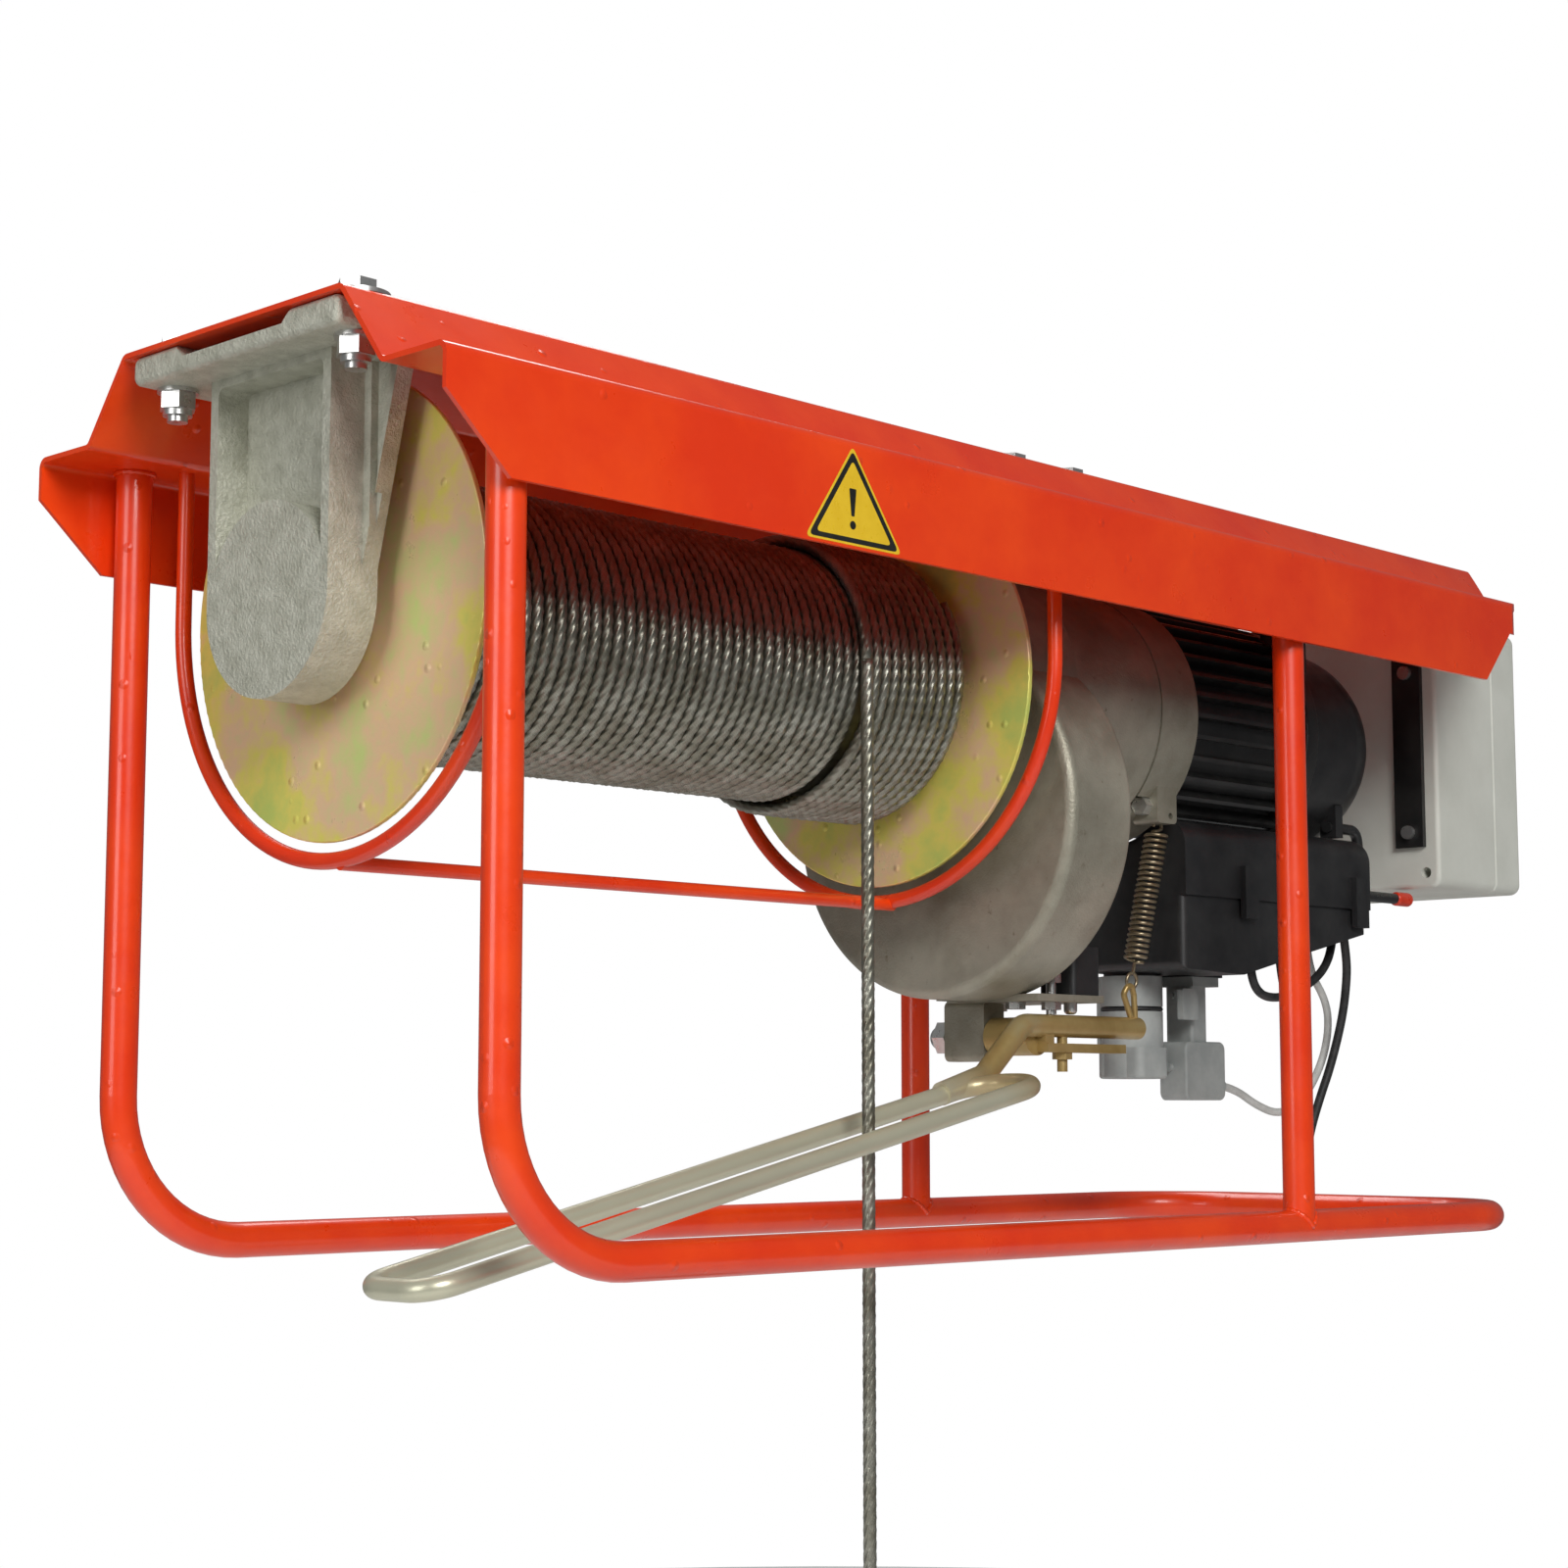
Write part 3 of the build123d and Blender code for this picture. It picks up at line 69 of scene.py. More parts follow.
# ---- camera ----
CAMERA_PLACE = Vector((-1.1526, -1.0605, -0.3576))
LOOKS_ALONG = Vector((0.7112, 0.6937, 0.11355)).normalized()
LEVEL_RIGHT = Vector((0.6982, -0.7159, 0.0)).normalized()
cam_data = bpy.data.cameras.new("camera")
cam_data.lens = 64.72
cam_data.sensor_width = 36.0
cam_data.clip_end = 60.0
camera = bpy.data.objects.new("camera", cam_data)
scene.collection.objects.link(camera)
up = LEVEL_RIGHT.cross(LOOKS_ALONG)
turn = Matrix((LEVEL_RIGHT, up, -LOOKS_ALONG)).transposed().to_4x4()
camera.matrix_world = Matrix.Translation(CAMERA_PLACE) @ turn
scene.camera = camera


# ---- materials ----
def node(tree, kind, **inputs):
    """A shader node with its inputs set by name."""
    made = tree.nodes.new(kind)
    for key, value in inputs.items():
        made.inputs[key.replace("_", " ")].default_value = value
    return made


def noise(tree, vector, scale, detail=5.0, roughness=0.6):
    made = node(tree, "ShaderNodeTexNoise", Scale=scale, Detail=detail, Roughness=roughness)
    tree.links.new(vector, made.inputs["Vector"])
    return made


def ramp(tree, factor, stops):
    made = tree.nodes.new("ShaderNodeValToRGB")
    elements = made.color_ramp.elements
    while len(elements) < len(stops):
        elements.new(0.5)
    for element, (place, colour) in zip(elements, stops):
        element.position = place
        element.color = (*colour, 1.0)
    tree.links.new(factor, made.inputs["Fac"])
    return made


def remap(tree, value, low, high, to_low, to_high):
    made = tree.nodes.new("ShaderNodeMapRange")
    for key, number in (("From Min", low), ("From Max", high), ("To Min", to_low), ("To Max", to_high)):
        made.inputs[key].default_value = number
    tree.links.new(value, made.inputs["Value"])
    return made.outputs["Result"]


def surface(name, stops, scale=30.0, rough=(0.3, 0.5), metallic=0.0, grain=500.0, depth=0.0001,
            strength=0.3, coat=0.0, stretch=(1, 1, 1), drops=0.0, wear=None):
    """A procedural finish: broad colour change, uneven gloss, a fine grain and, on paint, rain drops."""
    made = bpy.data.materials.new(name)
    made.use_nodes = True
    tree = made.node_tree
    shader = tree.nodes["Principled BSDF"]
    shader.inputs["Metallic"].default_value = metallic
    if coat:
        shader.inputs["Coat Weight"].default_value = coat
        shader.inputs["Coat Roughness"].default_value = 0.08
    coords = tree.nodes.new("ShaderNodeTexCoord")
    mapping = tree.nodes.new("ShaderNodeMapping")
    mapping.inputs["Scale"].default_value = stretch
    tree.links.new(coords.outputs["Object"], mapping.inputs["Vector"])
    vector = mapping.outputs["Vector"]
    broad = noise(tree, vector, scale)
    colour = ramp(tree, broad.outputs["Fac"], stops).outputs["Color"]
    if wear:
        spots = noise(tree, vector, scale * 7, 8.0, 0.7)
        mask = remap(tree, spots.outputs["Fac"], 0.62, 0.72, 0.0, 1.0)
        mix = tree.nodes.new("ShaderNodeMix")
        mix.data_type = "RGBA"
        tree.links.new(mask, mix.inputs["Factor"])
        tree.links.new(colour, mix.inputs["A"])
        mix.inputs["B"].default_value = (*wear, 1.0)
        colour = mix.outputs["Result"]
    tree.links.new(colour, shader.inputs["Base Color"])
    gloss = noise(tree, vector, scale * 3)
    tree.links.new(remap(tree, gloss.outputs["Fac"], 0.3, 0.7, *rough), shader.inputs["Roughness"])
    fine = noise(tree, vector, grain, 3.0)
    bump = tree.nodes.new("ShaderNodeBump")
    bump.inputs["Strength"].default_value = strength
    bump.inputs["Distance"].default_value = depth
    tree.links.new(fine.outputs["Fac"], bump.inputs["Height"])
    last = bump
    if drops:
        cells = node(tree, "ShaderNodeTexVoronoi", Scale=drops)
        tree.links.new(coords.outputs["Object"], cells.inputs["Vector"])
        dome = remap(tree, cells.outputs["Distance"], 0.0, 0.22, 1.0, 0.0)
        chance = remap(tree, cells.outputs["Color"], 0.55, 0.62, 0.0, 1.0)
        both = tree.nodes.new("ShaderNodeMath")
        both.operation = "MULTIPLY"
        tree.links.new(dome, both.inputs[0])
        tree.links.new(chance, both.inputs[1])
        last = tree.nodes.new("ShaderNodeBump")
        last.inputs["Strength"].default_value = 0.7
        last.inputs["Distance"].default_value = 0.0012
        tree.links.new(both.outputs["Value"], last.inputs["Height"])
        tree.links.new(bump.outputs["Normal"], last.inputs["Normal"])
    tree.links.new(last.outputs["Normal"], shader.inputs["Normal"])
    return made


def two(a, b):
    """Colour stops from one colour to another."""
    return [(0.35, a), (0.65, b)]


def by_x(made, start, end, colour):
    """Give a finish another colour below X = start, fading out by X = end."""
    tree = made.node_tree
    shader = tree.nodes["Principled BSDF"]
    coords = tree.nodes.new("ShaderNodeTexCoord")
    parts = tree.nodes.new("ShaderNodeSeparateXYZ")
    tree.links.new(coords.outputs["Object"], parts.inputs["Vector"])
    old = shader.inputs["Base Color"].links[0].from_socket
    mix = tree.nodes.new("ShaderNodeMix")
    mix.data_type = "RGBA"
    tree.links.new(remap(tree, parts.outputs["X"], start, end, 0.0, 1.0), mix.inputs["Factor"])
    mix.inputs["A"].default_value = (*colour, 1.0)
    tree.links.new(old, mix.inputs["B"])
    tree.links.new(mix.outputs["Result"], shader.inputs["Base Color"])
    return made


RED = surface("red_paint", two((0.80, 0.036, 0.002), (0.90, 0.062, 0.003)), scale=14, rough=(0.26, 0.40),
              metallic=0.0, grain=300, depth=0.0004, strength=0.12, coat=0.35, drops=85)
BRACKET = surface("sand_cast_aluminium", two((0.47, 0.47, 0.38), (0.61, 0.61, 0.51)), scale=110,
                  rough=(0.42, 0.62), metallic=0.3, grain=520, depth=0.0012, strength=0.9,
                  wear=(0.36, 0.36, 0.31))
CASE = surface("gear_case_aluminium", two((0.24, 0.225, 0.17), (0.42, 0.40, 0.32)), scale=16,
               rough=(0.34, 0.55), metallic=0.5, grain=700, depth=0.0006, strength=0.5,
               wear=(0.20, 0.18, 0.13))
GOLD = surface("yellow_zinc",
               [(0.32, (0.58, 0.68, 0.16)), (0.44, (0.84, 0.74, 0.16)), (0.54, (0.88, 0.60, 0.36)),
                (0.66, (0.66, 0.74, 0.26))],
               scale=15, rough=(0.26, 0.42), metallic=0.2, grain=420, depth=0.0004, strength=0.25, drops=90)
LEVER_ZINC = surface("lever_zinc",
                     [(0.30, (0.33, 0.22, 0.07)), (0.50, (0.46, 0.33, 0.13)), (0.70, (0.44, 0.38, 0.22))],
                     scale=16, rough=(0.28, 0.44), metallic=0.45, grain=500, depth=0.0003, strength=0.25)
# the long loop, left of the origin, is paler than the arm on its right
LEVER = by_x(LEVER_ZINC, 0.0, 0.05, (0.60, 0.59, 0.44))
ZINC = surface("bright_zinc", two((0.58, 0.58, 0.56), (0.72, 0.72, 0.70)), scale=90, rough=(0.24, 0.40),
               metallic=0.9, grain=900, depth=0.0001, strength=0.2)
STEEL = surface("machined_steel", two((0.42, 0.42, 0.43), (0.56, 0.56, 0.57)), scale=60, rough=(0.25, 0.42),
                metallic=0.9, grain=800, depth=0.0001, strength=0.2, stretch=(0.2, 1, 1))
# near-black steel for the brake magnet and hook; on the drum tube it is painted shade for the bare drum in
# shadow
DARK = surface("dark_steel", two((0.035, 0.035, 0.038), (0.07, 0.07, 0.07)), scale=40, rough=(0.38, 0.55),
               metallic=0.4, grain=700, depth=0.0002, strength=0.3)
MOTOR = surface("motor_black", two((0.012, 0.012, 0.012), (0.030, 0.029, 0.027)), scale=30,
                rough=(0.30, 0.46), metallic=0.1, grain=800, depth=0.0003, strength=0.35)
PLASTIC = surface("black_plastic", two((0.012, 0.012, 0.013), (0.024, 0.024, 0.024)), scale=45,
                  rough=(0.32, 0.46), metallic=0.0, grain=1400, depth=0.0002, strength=0.35)
GREY = surface("grey_plastic", two((0.33, 0.35, 0.34), (0.42, 0.44, 0.42)), scale=60, rough=(0.40, 0.55),
               metallic=0.0, grain=1300, depth=0.0002, strength=0.3)
BOX = surface("light_grey_plastic", two((0.62, 0.63, 0.56), (0.70, 0.71, 0.64)), scale=18,
              rough=(0.42, 0.56), metallic=0.0, grain=1300, depth=0.0002, strength=0.3)
WHITE = surface("white_plastic", two((0.62, 0.62, 0.60), (0.74, 0.74, 0.72)), scale=40, rough=(0.3, 0.45),
                metallic=0.0, grain=900, depth=0.0001, strength=0.2)
COPPER = surface("winding_copper", two((0.48, 0.20, 0.08), (0.62, 0.30, 0.14)), scale=200,
                 rough=(0.3, 0.45), metallic=0.8, grain=1500, depth=0.0004, strength=0.5, stretch=(8, 1, 1))
SPRING = surface("spring_steel", two((0.22, 0.17, 0.10), (0.36, 0.30, 0.20)), scale=90, rough=(0.3, 0.42),
                 metallic=0.8, grain=900, depth=0.0001, strength=0.2)
WEIGHT = surface("painted_iron", two((0.05, 0.05, 0.055), (0.09, 0.09, 0.09)), scale=35, rough=(0.4, 0.6),
                 metallic=0.2, grain=600, depth=0.0005, strength=0.5)
CABLE_BLACK = surface("black_cable", two((0.012, 0.012, 0.012), (0.03, 0.03, 0.03)), scale=120,
                      rough=(0.4, 0.55), metallic=0.0, grain=1500, depth=0.0002, strength=0.4)
CABLE_WHITE = surface("white_cable", two((0.50, 0.50, 0.47), (0.60, 0.60, 0.57)), scale=120,
                      rough=(0.4, 0.55), metallic=0.0, grain=1500, depth=0.0002, strength=0.4)
LABEL_YELLOW = surface("label_yellow", two((0.78, 0.50, 0.02), (0.84, 0.56, 0.03)), scale=80,
                       rough=(0.25, 0.36), metallic=0.0, grain=900, depth=0.0001, strength=0.1)
LABEL_BLACK = surface("label_black", two((0.010, 0.010, 0.010), (0.022, 0.022, 0.020)), scale=80,
                      rough=(0.3, 0.4), metallic=0.0, grain=900, depth=0.0001, strength=0.1)
KNOB_RED = surface("release_lever", two((0.62, 0.035, 0.012), (0.72, 0.05, 0.016)), scale=80,
                   rough=(0.25, 0.38), metallic=0.0, grain=900, depth=0.0001, strength=0.2)
# a black rod up to the red knob on its end
RED_KNOB = by_x(KNOB_RED, 0.4648, 0.4652, (0.02, 0.02, 0.02))


WIRES_ROUND = 30


def rope_finish():
    """Drawn steel wire: bright crowns, and thin dark lines of painted shade in the grooves between the
    wires, along the rope.
    """
    made = surface("wire_rope", two((0.26, 0.25, 0.19), (0.46, 0.46, 0.39)), scale=60, rough=(0.28, 0.42),
                   metallic=0.8, grain=1200, depth=0.0001, strength=0.15)
    tree = made.node_tree
    shader = tree.nodes["Principled BSDF"]
    coords = tree.nodes.new("ShaderNodeTexCoord")
    parts = tree.nodes.new("ShaderNodeSeparateXYZ")
    tree.links.new(coords.outputs["UV"], parts.inputs["Vector"])
    many = tree.nodes.new("ShaderNodeMath")
    many.operation = "MULTIPLY"
    many.inputs[1].default_value = TURN * WIRES_ROUND
    tree.links.new(parts.outputs["Y"], many.inputs[0])
    wave = tree.nodes.new("ShaderNodeMath")
    wave.operation = "SINE"
    tree.links.new(many.outputs["Value"], wave.inputs[0])
    old = shader.inputs["Base Color"].links[0].from_socket
    mix = tree.nodes.new("ShaderNodeMix")
    mix.data_type = "RGBA"
    tree.links.new(remap(tree, wave.outputs["Value"], -1.0, -0.2, 0.75, 0.0), mix.inputs["Factor"])
    tree.links.new(old, mix.inputs["A"])
    # painted shade: the thin near-black lines stand for the shadow in the grooves between the wires
    mix.inputs["B"].default_value = (0.07, 0.065, 0.05, 1.0)
    tree.links.new(mix.outputs["Result"], shader.inputs["Base Color"])
    return made


ROPE = rope_finish()

FINISHES = {
    RED: ("canopy_cover", "base_tube", "right_leg_front", "right_leg_rear", "rope_guard_left",
          "rope_guard_right", "guard_tie_bar"),
    BRACKET: ("bearing_bracket",),
    CASE: ("gearbox_case", "gearbox_cover", "motor_adapter", "pivot_block"),
    GOLD: ("drum_flanges",),
    LEVER: ("limit_lever",),
    ZINC: ("canopy_fasteners", "strap_screws", "lever_fasteners", "motor_tie_rods", "switch_plunger",
           "safety_latch"),
    STEEL: ("drum_bearings", "countershaft_bearings", "rotor_bearings", "drum_shaft", "drum_gear",
            "countershaft", "intermediate_gear", "rotor_shaft", "rotor_core", "motor_stator", "brake_disc",
            "rope_clamp"),
    # painted shade: the drum tube gets the near-black dark steel finish, standing for the shadow on the
    # bare drum
    DARK: ("brake_magnet", "drum_tube", "load_hook"),
    MOTOR: ("motor_housing", "motor_endshield", "box_straps"),
    COPPER: ("motor_windings",),
    PLASTIC: ("fan_cover", "cooling_fan", "terminal_box", "terminal_box_lid", "limit_switch"),
    GREY: ("power_inlet", "connector_base", "connector_hood", "hood_lever"),
    BOX: ("control_box_base", "control_box_lid"),
    WHITE: ("run_capacitor", "contactor"),
    RED_KNOB: ("brake_release",),
    WEIGHT: ("rope_weight",),
    ROPE: ("wound_rope", "hanging_rope"),
    SPRING: ("lever_spring",),
    CABLE_WHITE: ("control_cable",),
    CABLE_BLACK: ("motor_cable_loop", "motor_cable_long"),
}
for finish, names in FINISHES.items():
    for name in names:
        cad[name].data.materials.clear()
        cad[name].data.materials.append(finish)


# ---- mesh helpers ----
def put(mesh, name, material, body):
    """Link a mesh as a piece with its finish and its body."""
    mesh.materials.append(material)
    made = bpy.data.objects.new(name, mesh)
    scene.collection.objects.link(made)
    if body:
        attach(made, body)
    return made


def skin(name, rings, closed=False, uvs=None, smooth=True):
    """A tube mesh from rings of points, capped unless it closes on itself."""
    rings = np.asarray(rings, float)
    count, sides = rings.shape[:2]
    faces = []
    last = count if closed else count - 1
    for i in range(last):
        a = i * sides
        b = ((i + 1) % count) * sides
        for j in range(sides):
            k = (j + 1) % sides
            faces.append((a + j, a + k, b + k, b + j))
    if not closed:
        faces.append(tuple(range(sides - 1, -1, -1)))
        faces.append(tuple((count - 1) * sides + j for j in range(sides)))
    mesh = bpy.data.meshes.new(name)
    mesh.from_pydata([tuple(p) for p in rings.reshape(-1, 3)], [], faces)
    if uvs is not None:
        layer = mesh.uv_layers.new(name="UVMap")
        vertex = np.empty(len(mesh.loops), int)
        mesh.loops.foreach_get("vertex_index", vertex)
        layer.data.foreach_set("uv", np.asarray(uvs, float).reshape(-1, 2)[vertex].ravel())
    mesh.polygons.foreach_set("use_smooth", [smooth] * len(mesh.polygons))
    mesh.update()
    return mesh


def carried_frames(points):
    """Tangent and two normals at each point, turned as little as possible along the line."""
    points = np.asarray(points, float)
    tangents = np.gradient(points, axis=0)
    tangents /= np.linalg.norm(tangents, axis=1)[:, None]
    start = np.cross(tangents[0], (0.0, 0.0, 1.0))
    if np.linalg.norm(start) < 0.1:
        start = np.cross(tangents[0], (0.0, 1.0, 0.0))
    normal = start / np.linalg.norm(start)
    normals = []
    for tangent in tangents:
        normal = normal - tangent * normal.dot(tangent)
        normal /= np.linalg.norm(normal)
        normals.append(normal)
    normals = np.array(normals)
    return points, tangents, normals, np.cross(tangents, normals)


def level_circle(x, y, z, radius, count):
    """Points evenly round a circle at one height."""
    return [(x + radius * math.cos(TURN * i / count), y + radius * math.sin(TURN * i / count), z)
            for i in range(count)]


def tube(name, points, radius, sides=12, closed=False, bumpy=0.0):
    """A round bar along a line; a bumpy one is uneven, as a weld bead is."""
    points, _, normals, sideways = carried_frames(points)
    angles = np.linspace(0, TURN, sides, endpoint=False)
    rings = []
    for index, (point, n, b) in enumerate(zip(points, normals, sideways)):
        size = radius * (1 + bumpy * math.sin(index * 1.9) * rng.uniform(0.5, 1.0))
        rings.append([point + size * (math.cos(a) * n + math.sin(a) * b) for a in angles])
    return skin(name, rings, closed)


# ---- wire rope ----
ROPE_R = 0.0035
WOUND_R = 0.00338    # a little thinner, so that turns side by side don't cut each other
LAY = 0.040
PROFILE = (0.88, 0.97, 1.0, 0.97)    # groove, flank, crown and flank of one strand
STRANDS = 6
PITCH = 0.00735
AXIS_Z = -0.1255
HANG = Vector((-0.0783, -0.0734, AXIS_Z))


def stranded(name, points, normals, radius):
    """Six round strands laid round a line, with the section turning as the line goes on."""
    points = np.asarray(points, float)
    tangents = np.gradient(points, axis=0)
    tangents /= np.linalg.norm(tangents, axis=1)[:, None]
    normals = np.asarray(normals, float)
    sideways = np.cross(tangents, normals)
    along = np.concatenate([[0.0], np.cumsum(np.linalg.norm(np.diff(points, axis=0), axis=1))])
    sides = STRANDS * len(PROFILE)
    base = np.arange(sides) * TURN / sides
    size = np.array(PROFILE * STRANDS) * radius
    rings = np.empty((len(points), sides, 3))
    uvs = np.empty((len(points), sides, 2))
    for i, s in enumerate(along):
        angle = base + TURN * s / LAY
        rings[i] = (points[i] + np.outer(size * np.cos(angle), normals[i])
                    + np.outer(size * np.sin(angle), sideways[i]))
        uvs[i, :, 0] = s * 100
        uvs[i, :, 1] = angle / TURN
    return skin(name, rings, uvs=uvs)


def coil(name, first, last, centre_r, radius, step, wander=0.0):
    """Rope wound on the drum between two turn angles, counted back from where the hanging rope leaves."""
    angles = np.arange(first, last, step)
    loose = np.cumsum(rng.normal(0, 1, len(angles)))
    loose = wander * np.sin(loose * 0.02)
    points = []
    normals = []
    for angle, shift in zip(angles, loose):
        y = -math.cos(angle)
        z = math.sin(angle)
        points.append((HANG.x + PITCH * angle / TURN + shift, centre_r * y, AXIS_Z + centre_r * z))
        normals.append((0.0, y, z))
    return stranded(name, points, normals, radius)


LAYER_3 = 0.0661
LAYER_4 = 0.0731
CORE_R = 0.0638
CORE_LEFT = -0.3618
CORE_RIGHT = -0.0002
LAYER_3_FROM = -38.1 * TURN
LAYER_3_TO = 0.6 * TURN
LAYER_4_TO = 10.1 * TURN
STEP_3 = TURN / 72
STEP_4 = TURN / 78
THINNER = 0.80    # the turn hidden under the rope that runs down
SUNK = 0.0006
PROUD = 0.0003
RUN_ON = math.radians(176)    # how far round the drum the rope that runs down is drawn, fixed to the frame
third = coil("wound_rope_third_layer", LAYER_3_FROM, LAYER_3_TO, LAYER_3, WOUND_R, STEP_3, 0.00022)
third = put(third, "wound_rope_third_layer", ROPE, "drum")
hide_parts("wound_rope")
fourth = coil("wound_rope_fourth_layer", RUN_ON, LAYER_4_TO, LAYER_4, WOUND_R, STEP_4, 0.00015)
put(fourth, "wound_rope_fourth_layer", ROPE, "drum")
under = coil("wound_rope_running_turn", 0.0, RUN_ON + 0.02, LAYER_4 - SUNK, ROPE_R * THINNER, STEP_4)
put(under, "wound_rope_running_turn", ROPE, "drum")
core_rings = [[(x, CORE_R * math.cos(a), AXIS_Z + CORE_R * math.sin(a))
               for a in np.linspace(0, TURN, 96, endpoint=False)] for x in (CORE_LEFT, CORE_RIGHT)]
put(skin("wound_rope_core", core_rings), "wound_rope_core", ROPE, "drum")
lead = coil("running_rope_arc", -0.012, RUN_ON + 0.05, LAYER_4 + PROUD, ROPE_R, STEP_4)
put(lead, "running_rope_arc", ROPE, "frame")

HANG_LENGTH = 0.4745
HANG_STEPS = 160
hang_points = [(HANG.x, HANG.y, HANG.z - HANG_LENGTH * i / HANG_STEPS) for i in range(HANG_STEPS + 1)]
hanging = stranded("hanging_wire_rope", hang_points, [(0.0, -1.0, 0.0)] * (HANG_STEPS + 1), ROPE_R)
hanging = put(hanging, "hanging_wire_rope", ROPE, "frame")
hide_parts("hanging_rope")
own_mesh(hanging)


# ---- cables ----
WHITE_D = 0.005
BLACK_D = 0.0055


def cable(name, node_name, points, diameter, material):
    """A cable that lies loose between two housings, along points in millimetres."""
    curve = bpy.data.curves.new(name, "CURVE")
    curve.dimensions = "3D"
    spline = curve.splines.new("NURBS")
    spline.points.add(len(points) - 1)
    for target, (x, y, z) in zip(spline.points, points):
        target.co = (x / 1000, y / 1000, z / 1000, 1.0)
    spline.order_u = 3
    spline.use_endpoint_u = True
    curve.resolution_u = 10
    curve.bevel_depth = diameter / 2
    curve.bevel_resolution = 5
    curve.use_fill_caps = True
    curve.materials.append(material)
    made = bpy.data.objects.new(name, curve)
    scene.collection.objects.link(made)
    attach(made, "frame")
    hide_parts(node_name)


cable("control_cable_sheath", "control_cable",
      [(308, -18, -345), (322, -18.6, -347), (341, -21, -357), (361, -24, -363), (383, -26, -356),
       (403, -28, -334), (414, -28, -311), (416, -26, -290), (401, -22, -269), (399.5, -22, -247.5)],
      WHITE_D, CABLE_WHITE)
cable("motor_cable_loop_sheath", "motor_cable_loop",
      [(299, -48, -271.5), (300.5, -48, -280), (307, -48, -287.5), (318, -48, -290.5), (336, -48, -289.5),
       (357, -47, -283.5), (377, -45, -275.5), (391, -42.5, -267), (400, -40.5, -257), (403.5, -40, -246)],
      BLACK_D, CABLE_BLACK)
cable("motor_cable_long_sheath", "motor_cable_long",
      [(395.5, -53, -248.5), (400, -52, -262), (403, -50, -276), (405, -45, -300), (401, -38, -331),
       (395, -33, -352), (390.5, -28.5, -372), (388.2, -25.8, -390.6), (394.8, -19.2, -400),
       (404.2, -9.8, -400), (410.8, -3.2, -390.6), (412.5, -2, -372), (413.5, -1, -348),
       (413, 0, -318), (410, 1, -290),
       (404, 2, -268), (402, 2, -247.5)],
      BLACK_D, CABLE_BLACK)


# ---- lever spring ----
SPRING_LOW = np.array((0.1855, -0.0435, -0.2795))
SPRING_HIGH = np.array((0.200, -0.053, -0.189))
WIRE_R = 0.00105
COIL_R = 0.0062
COIL_TURNS = 24
STEPS_A_TURN = 14
RING_R = 0.0047
HOOK_R = 0.004
END_LENGTH = 0.006


def spring_line():
    """The spring's wire: a full ring at the lever, close coils, and a half hook at the lug."""
    axis = SPRING_HIGH - SPRING_LOW
    length = np.linalg.norm(axis)
    axis /= length
    one = np.cross(axis, (0.0, 1.0, 0.0))
    one /= np.linalg.norm(one)
    other = np.cross(axis, one)
    line = []
    for i in range(25):
        a = math.pi * (0.5 - 2 * i / 24)
        line.append(SPRING_LOW + axis * RING_R * (math.sin(a) - 1.0) + one * RING_R * math.cos(a))
    steps = COIL_TURNS * STEPS_A_TURN
    for i in range(steps + 1):
        a = TURN * i / STEPS_A_TURN
        ease = min(1.0, i / 7, (steps - i) / 7 + 0.001)
        place = END_LENGTH + (length - 2 * END_LENGTH) * i / steps
        line.append(SPRING_LOW + axis * place + COIL_R * ease * (one * math.cos(a) + other * math.sin(a)))
    for i in range(9):
        a = math.pi * (1.0 + i / 8)
        line.append(SPRING_HIGH - axis * (HOOK_R + HOOK_R * math.sin(a)) + one * HOOK_R * math.cos(a))
    return line


spring_mesh = tube("lever_spring_coils", spring_line(), WIRE_R, 8)
spring = put(spring_mesh, "lever_spring_coils", SPRING, None)
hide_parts("lever_spring")
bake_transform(spring)


# ---- inlet seal ----
INLET_X = 0.241
SEAL_Z = -0.2985
SEAL_R = 0.0178
seal = tube("inlet_seal", level_circle(INLET_X, 0.0, SEAL_Z, SEAL_R, 64), 0.0014, 8, True)
put(seal, "inlet_seal", CABLE_BLACK, "frame")


# ---- weld beads ----
TUBE_R = 0.009
LEG_Y = 0.1447
LEFT_LEG_X = -0.3846
RIGHT_LEG_X = 0.2035
BASE_Z = -0.4248
LEG_TOP_Z = -0.0424


def bead(name, line, radius):
    """A closed weld bead along a line."""
    put(tube(name, line, radius, 8, True, 0.3), name, RED, "frame")


def weld_saddle(name, x, y, z, post_r, pipe_r):
    """The bead where a post stands on a pipe along X."""
    line = []
    for i in range(64):
        a = TURN * i / 64
        across = post_r * math.sin(a)
        rise = math.sqrt(max(pipe_r ** 2 - across ** 2, 0.0))
        line.append((x + post_r * math.cos(a), y + across, z + rise))
    bead(name, line, 0.0015)


for side, y in (("front", -LEG_Y), ("rear", LEG_Y)):
    weld_saddle("weld_right_leg_" + side, RIGHT_LEG_X, y, BASE_Z, TUBE_R, TUBE_R)
    for place, x in (("left", LEFT_LEG_X), ("right", RIGHT_LEG_X)):
        bead("weld_top_" + place + "_" + side, level_circle(x, y, LEG_TOP_Z, TUBE_R + 0.0005, 48), 0.0013)


# ---- warning label ----
def plate(name, outline, y, material, hole=None):
    """A flat shape on the front skirt, from (x, z) corners, with an optional hole of as many corners."""
    count = len(outline)
    points = [(px, y, pz) for px, pz in outline]
    if hole is None:
        faces = [tuple(range(count))]
    else:
        points += [(px, y, pz) for px, pz in hole]
        faces = [(i, (i + 1) % count, count + (i + 1) % count, count + i) for i in range(count)]
    mesh = bpy.data.meshes.new(name)
    mesh.from_pydata(points, [], faces)
    mesh.update()
    return put(mesh, name, material, "frame")


def inset(outline, share):
    """An outline shrunk towards its middle."""
    cx = sum(p[0] for p in outline) / len(outline)
    cz = sum(p[1] for p in outline) / len(outline)
    return [(cx + (px - cx) * share, cz + (pz - cz) * share) for px, pz in outline]


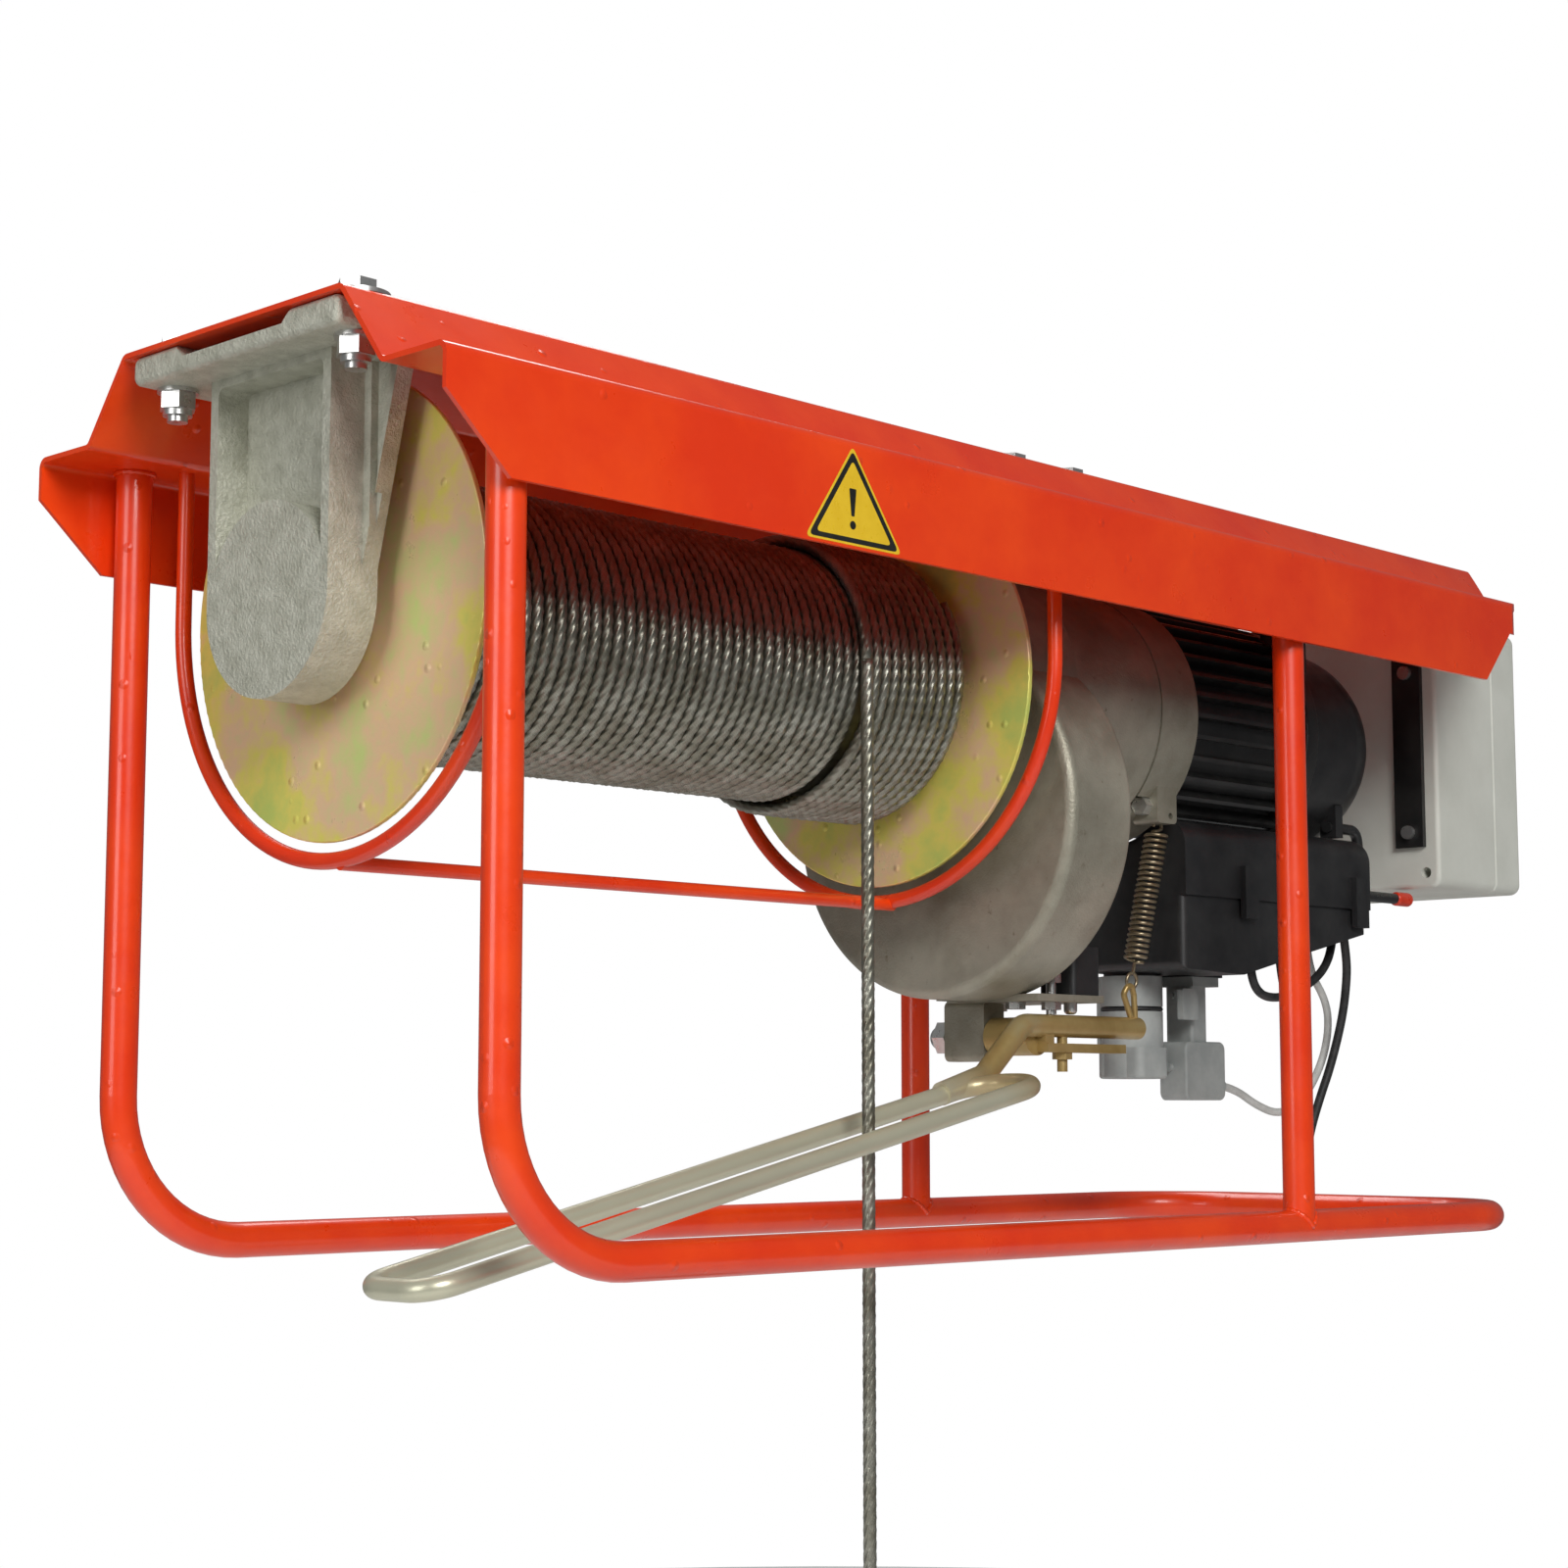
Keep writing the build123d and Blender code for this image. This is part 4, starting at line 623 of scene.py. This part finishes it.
def rounded(corners, radius):
    """A polygon's outline with its corners rounded by short arcs."""
    made = []
    for i, corner in enumerate(corners):
        here = Vector(corner)
        before = (Vector(corners[i - 1]) - here).normalized()
        after = (Vector(corners[(i + 1) % len(corners)]) - here).normalized()
        reach = radius / math.tan(before.angle(after) / 2)
        a = here + before * reach
        b = here + after * reach
        for step in range(7):
            t = step / 6
            made.append(tuple(a * (1 - t) ** 2 + here * 2 * t * (1 - t) + b * t * t))
    return made


SKIRT_Y = -0.1593
FILM = 0.00006
LABEL_X = -0.1815
triangle = rounded([(LABEL_X, -0.0432), (-0.2145, -0.0916), (-0.1465, -0.0916)], 0.0022)
border_hole = inset(triangle, 0.78)
bar = rounded([(-0.1790, -0.0640), (-0.1840, -0.0640), (-0.1826, -0.0775), (-0.1804, -0.0775)], 0.0006)
dot = [(LABEL_X + 0.0021 * math.cos(TURN * i / 24), -0.0818 + 0.0021 * math.sin(TURN * i / 24))
       for i in range(24)]
plate("label_ground", triangle, SKIRT_Y - FILM, LABEL_YELLOW)
plate("label_border", inset(triangle, 0.93), SKIRT_Y - 2 * FILM, LABEL_BLACK, border_hole)
plate("label_bar", bar, SKIRT_Y - 2 * FILM, LABEL_BLACK)
plate("label_dot", dot, SKIRT_Y - 2 * FILM, LABEL_BLACK)


# ---- floor and light ----
FLOOR_R = 1.25
FLOOR_GAP = 0.03
FILL_LIGHT = (0.13, 0.133, 0.137, 1.0)
BACKDROP = (1.0, 1.0, 1.0, 1.0)
low_corner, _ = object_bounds()
floor_mesh = bpy.data.meshes.new("floor")
floor_outline = level_circle(0.0, 0.0, low_corner.z - FLOOR_GAP, FLOOR_R, 96)
floor_mesh.from_pydata(floor_outline, [], [tuple(range(len(floor_outline)))])
floor_mesh.materials.append(surface("floor_paper", two((0.88, 0.88, 0.88), (0.92, 0.92, 0.92)), scale=2,
                                    rough=(0.7, 0.9), grain=60, depth=0.0002, strength=0.1))
floor = bpy.data.objects.new("floor", floor_mesh)
scene.collection.objects.link(floor)

world = bpy.data.worlds.new("studio")
scene.world = world
world.use_nodes = True
background = world.node_tree.nodes["Background"]
background.inputs["Strength"].default_value = 1.0
rays = world.node_tree.nodes.new("ShaderNodeLightPath")
shade = world.node_tree.nodes.new("ShaderNodeMix")
shade.data_type = "RGBA"
shade.inputs["A"].default_value = FILL_LIGHT
shade.inputs["B"].default_value = BACKDROP
world.node_tree.links.new(rays.outputs["Is Camera Ray"], shade.inputs["Factor"])
world.node_tree.links.new(shade.outputs["Result"], background.inputs["Color"])
scene.view_settings.view_transform = "Standard"


def soft_box(name, place, target, size, power):
    """A rectangular light of so many watts that faces a point."""
    data = bpy.data.lights.new(name, "AREA")
    data.shape = "RECTANGLE"
    data.size, data.size_y = size
    data.energy = power
    made = bpy.data.objects.new(name, data)
    scene.collection.objects.link(made)
    made.location = place
    made.rotation_euler = (Vector(target) - Vector(place)).to_track_quat("-Z", "Y").to_euler()


soft_box("key", place=(-1.3, -2.4, 1.1), target=(0.0, 0.0, -0.2), size=(1.2, 1.2), power=66)
soft_box("left", place=(-2.6, -0.2, 0.3), target=(-0.3, 0.0, -0.15), size=(1.0, 1.4), power=17)
soft_box("rim", place=(0.6, 1.4, 1.9), target=(0.1, 0.0, -0.1), size=(2.0, 1.0), power=32)
